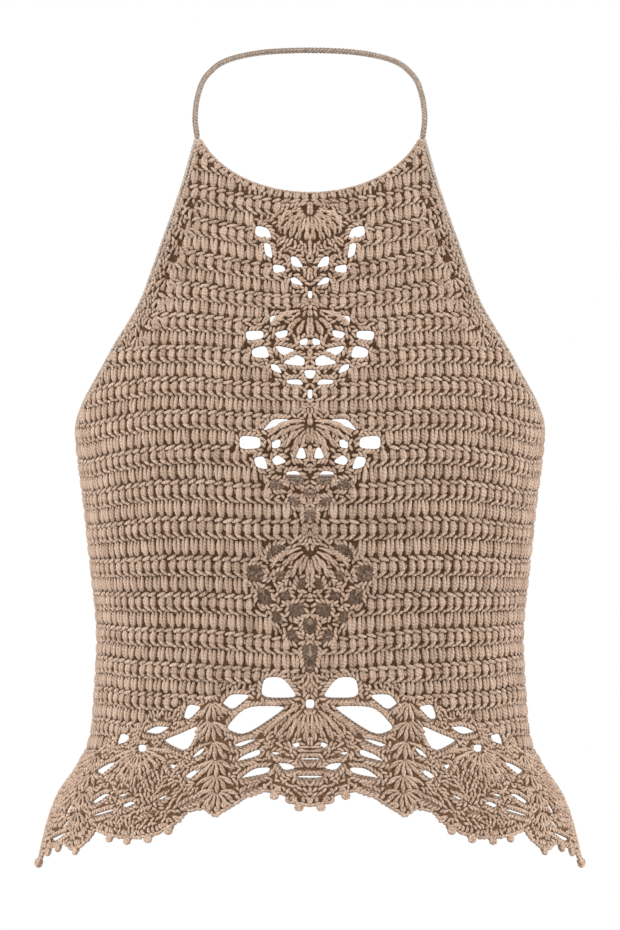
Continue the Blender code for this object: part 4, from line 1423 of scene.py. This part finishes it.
def dress_column():
    """The lace column of the front: rims, nubs and fans."""
    rims = rim_strands(COLUMN_RIMS)
    posts = post_strands(COLUMN_POSTS)
    spots = lattice(*COLUMN_FIELD, LACE_GRID)
    keep = in_leaf(np.abs(spots)) & (spots[:, 0] >= 0)
    keep &= gap_clearance(spots, COLUMN_RIMS) > NUBS_FROM_LACE
    spots = spots[keep]
    keep = distances(spots, [rims]) > NUBS_FROM_STRAND
    keep &= distances(spots, [posts]) > NUBS_FROM_COLUMN_POST
    spots = spots[keep]
    fills = fill_strands(thinned(spots, COLUMN_NUB_GAP), COLUMN_RIMS, COLUMN_APEXES, 1.0)
    parts = (
        Strands(rims, RIM_RADIUS),
        Strands(fills, NUB_RADIUS),
        Strands(posts, ROPE_RADIUS, 9, 0.5),
    )
    return both_sides(parts).build("lace_column_yarn", LACE)


def dress_hem(panel_turn):
    """The lace hem's strands for the panel whose middle line is panel_turn round."""
    rims = rim_strands(HEM_RIMS, panel_turn)
    posts = post_strands(HEM_POSTS)
    shells = shell_strands(HEM_SHELLS, HEM_SHELL_WIDTH)
    shells = shells[(gap_clearance(shells, HEM_RIMS)[:, 1:5] > SHELLS_FROM_HEM).all(axis=1)]
    edge = path_strands(table_line(HEM), HEM_EDGE)
    uprights = path_strands(table_line(HEM), HEM_UPRIGHT)
    uprights = uprights[(gap_clearance(uprights, HEM_RIMS) > UPRIGHTS_FROM_HEM).all(axis=1)]
    bar_spots = np.array([(0.0, drop) for drop in BAR_DROPS])
    bars = stamped(bar_spots, np.full(len(bar_spots), math.pi / 2), BAR_SHAPE)
    spots = lattice(*HEM_FIELD, LACE_GRID)
    keep = (gap_clearance(spots, HEM_RIMS) > NUBS_FROM_LACE) & (spots[:, 0] < SIDE)
    keep &= spots[:, 1] > seam_drop(spots[:, 0]) + NUBS_BELOW_SEAM
    keep &= spots[:, 1] < hem_drop(spots[:, 0]) - NUBS_FROM_EDGE
    spots = spots[keep]
    keep = distances(spots, [rims, edge, uprights, bars], panel_turn) > NUBS_FROM_STRAND
    keep &= distances(spots, [posts, shells], panel_turn) > NUBS_FROM_HEM_POST
    spots = spots[keep]
    flank = spots[:, 0] > HEM_FLANK
    apexes = [(float(around_at(shell.across, shell.drop)), shell.drop) for shell in HEM_SHELLS]
    apexes.append(HEM_APEX)
    fills = fill_strands(thinned(spots[~flank], HEM_NUB_GAP), HEM_RIMS, apexes, HEM_SPREAD)
    coarse = fill_strands(thinned(spots[flank], COARSE_NUB_GAP), HEM_RIMS, apexes, HEM_SPREAD)
    parts = (
        Strands(rims, RIM_RADIUS),
        Strands(fills, NUB_RADIUS),
        Strands(coarse, COARSE_NUB_RADIUS),
        Strands(tip_strands(), TIP_RADIUS, taper=0.7),
        Strands(posts, ROPE_RADIUS, 9, 0.5),
        Strands(shells, SHELL_RADIUS, 7, 0.6),
        Strands(edge, HEM_EDGE.radius),
        Strands(uprights, HEM_UPRIGHT.radius),
        Strands(bars, BAR_RADIUS),
        Strands(picot_strands(), PICOT_RADIUS, taper=0.85),
    )
    return both_sides(parts, panel_turn)


def tip_strands():
    """Three crossing strands that round off the hem's side point."""
    spot = (HEM[-1].around + TIP_INSET[0], HEM[-1].drop + TIP_INSET[1])
    return stamped(np.array([spot] * len(TIP_BEARINGS)), np.array(TIP_BEARINGS), TIP_SHAPE)


def picot_strands():
    """The short strands of each picot on the hem's edge."""
    spots = []
    for row, following in zip(HEM, HEM[1:]):
        if row.picots:
            spots.append(((row.around + following.around) / 2, (row.drop + following.drop) / 2))
    strands = []
    for swing, reach in PICOT_STRANDS:
        shape = ((-1.2, swing / 2, -1.3), (reach / 2, swing, -0.8), (reach, swing * 0.6, -1.2))
        strands.append(stamped(np.array(spots), np.zeros(len(spots)), shape))
    return np.concatenate(strands)


def dress_edge(name, line, stitches, material):
    """One crocheted edge: its stitches along the right half of its line, and their mirror image."""
    parts = [Strands(path_strands(line, stitch), stitch.radius) for stitch in stitches]
    return both_sides(parts).build(name, material)


def strap_points():
    """Even points on the neck strap's middle line, from the right corner to the left."""
    half = np.array([(p.across, p.depth, -p.drop) for p in STRAP], float)
    points = np.concatenate([half, half[:-1][::-1] * (-1, 1, 1)])
    fine = through(points[None], 500)[0]
    reach = np.concatenate([[0], np.cumsum(np.linalg.norm(np.diff(fine, axis=0), axis=-1))])
    even = np.linspace(0, reach[-1], STRAP_POINTS)
    return np.stack([np.interp(even, reach, fine[:, i]) for i in range(3)], -1), reach[-1]


def dress_strap():
    """The neck strap: yarn wound in close loops round a core, as a crocheted cord looks."""
    line, length = strap_points()
    tangent = unit(np.gradient(line, axis=0))
    side = unit(np.cross(tangent, (0.0, -1.0, 0.2)))
    up = np.cross(side, tangent)

    def on_strap(places):
        at = np.clip(places[..., 0] / length * (len(line) - 1), 0, len(line) - 1)
        index = np.minimum(at.astype(int), len(line) - 2)
        share = (at - index)[..., None]
        middle = line[index] * (1 - share) + line[index + 1] * share
        turn = places[..., 1][..., None]
        out = side[index] * np.cos(turn) + up[index] * np.sin(turn)
        return middle + out * places[..., 2][..., None], out

    loops = []
    for strand in range(STRAP_LOOPS):
        turn = strand * 2 * math.pi / STRAP_LOOPS
        wind = STRAP_WIND if strand % 2 else -STRAP_WIND
        for i in range(int(length / STRAP_PITCH)):
            start = i * STRAP_PITCH + strand % 2 * STRAP_PITCH / 2
            loops.append((
                (start, turn - wind, STRAP_LOOP_ENDS),
                (start + STRAP_LOOP_LENGTH / 2, turn, STRAP_LOOP_MIDDLE),
                (start + STRAP_LOOP_LENGTH, turn + wind, STRAP_LOOP_ENDS),
            ))
    yarn = Yarn()
    yarn.add(np.array(loops), STRAP_YARN_RADIUS, rings=4, sides=5, taper=0.6)
    core = np.array([[(0, 0, 0.01), (length, 0, 0.01)]])
    yarn.add(core, STRAP_CORE_RADIUS, rings=200, sides=8, taper=1.0)
    return yarn.build("neck_strap_yarn", EDGE, on_strap)


def light(lamp):
    """A square soft light."""
    data = bpy.data.lights.new(lamp.name, "AREA")
    data.size = lamp.size
    data.energy = lamp.power
    made = placed(lamp.name, data)
    made.location = lamp.place
    aim = Vector(lamp.look_at) - Vector(lamp.place)
    made.rotation_euler = aim.to_track_quat("-Z", "Y").to_euler()


def studio():
    """A pale floor, a white surround, soft lights and the photograph's camera."""
    scene = bpy.context.scene
    scene.view_settings.view_transform = "Standard"
    world = bpy.data.worlds.new("studio")
    scene.world = world
    world.use_nodes = True
    background = world.node_tree.nodes["Background"]
    background.inputs["Color"].default_value = (1.0, 1.0, 1.0, 1.0)
    background.inputs["Strength"].default_value = 1.0
    for lamp in LAMPS:
        light(lamp)
    floor_material, _, shader = new_material("pale_floor")
    shader.inputs["Base Color"].default_value = (0.88, 0.88, 0.87, 1.0)
    shader.inputs["Roughness"].default_value = 0.9
    mesh = bpy.data.meshes.new("floor")
    corners = ((-1, -1), (1, -1), (1, 1), (-1, 1))
    points = [(x * FLOOR_REACH, y * FLOOR_REACH, FLOOR_LEVEL) for x, y in corners]
    mesh.from_pydata(points, [], [(0, 1, 2, 3)])
    mesh.materials.append(floor_material)
    floor = placed("floor", mesh)
    camera = bpy.data.cameras.new("camera")
    camera.lens = CAMERA_SENSOR * CAMERA_DISTANCE / CAMERA_FRAME
    camera.sensor_width = CAMERA_SENSOR
    camera.clip_end = 50
    seen = placed("camera", camera)
    seen.location = (0, SEAM_DEPTH * MM - CAMERA_DISTANCE, CAMERA_LEVEL)
    seen.rotation_euler = (math.radians(90), 0, 0)
    scene.camera = seen


def main():
    """The studio and the dressed pieces, with what each rides on and replaces."""
    studio()
    rows = dress_rows()
    column = dress_column()
    neck = dress_edge("neck_edging_yarn", neckline(), NECK_STITCHES, NECK)
    top_line = np.concatenate([armhole(), back_top()[1:]])
    top = dress_edge("top_edging_yarn", top_line, TOP_STITCHES, EDGE)
    strap = dress_strap()
    cloths = {
        "front": cloth_shell("front_cloth", front_outline(), COLUMN_RIMS, SHADED),
        "back": cloth_shell("back_cloth", back_outline(), (), SHADED, HALF_GIRTH),
        "hem_lace_front": cloth_shell("hem_cloth_front", hem_outline(), HEM_RIMS, LACE_SHADED),
        "hem_lace_back": cloth_shell("hem_cloth_back", hem_outline(), HEM_RIMS, LACE_SHADED, HALF_GIRTH),
    }
    for name, cloth in cloths.items():
        finish_piece(cloth, "lace_yarn" if "hem" in name else "rows_yarn", name)
    hems = {}
    for name, turn in (("front", 0.0), ("back", HALF_GIRTH)):
        hems[name] = dress_hem(turn).build(f"hem_yarn_{name}", LACE)
    for piece in rows.values():
        finish_piece(piece, "rows_yarn")
    for piece in [column, *hems.values()]:
        finish_piece(piece, "lace_yarn")
    finish_piece(neck, "edge_yarn", "neck_edging")
    finish_piece(top, "edge_yarn", "top_edging")
    finish_piece(strap, "edge_yarn", "neck_strap")


main()
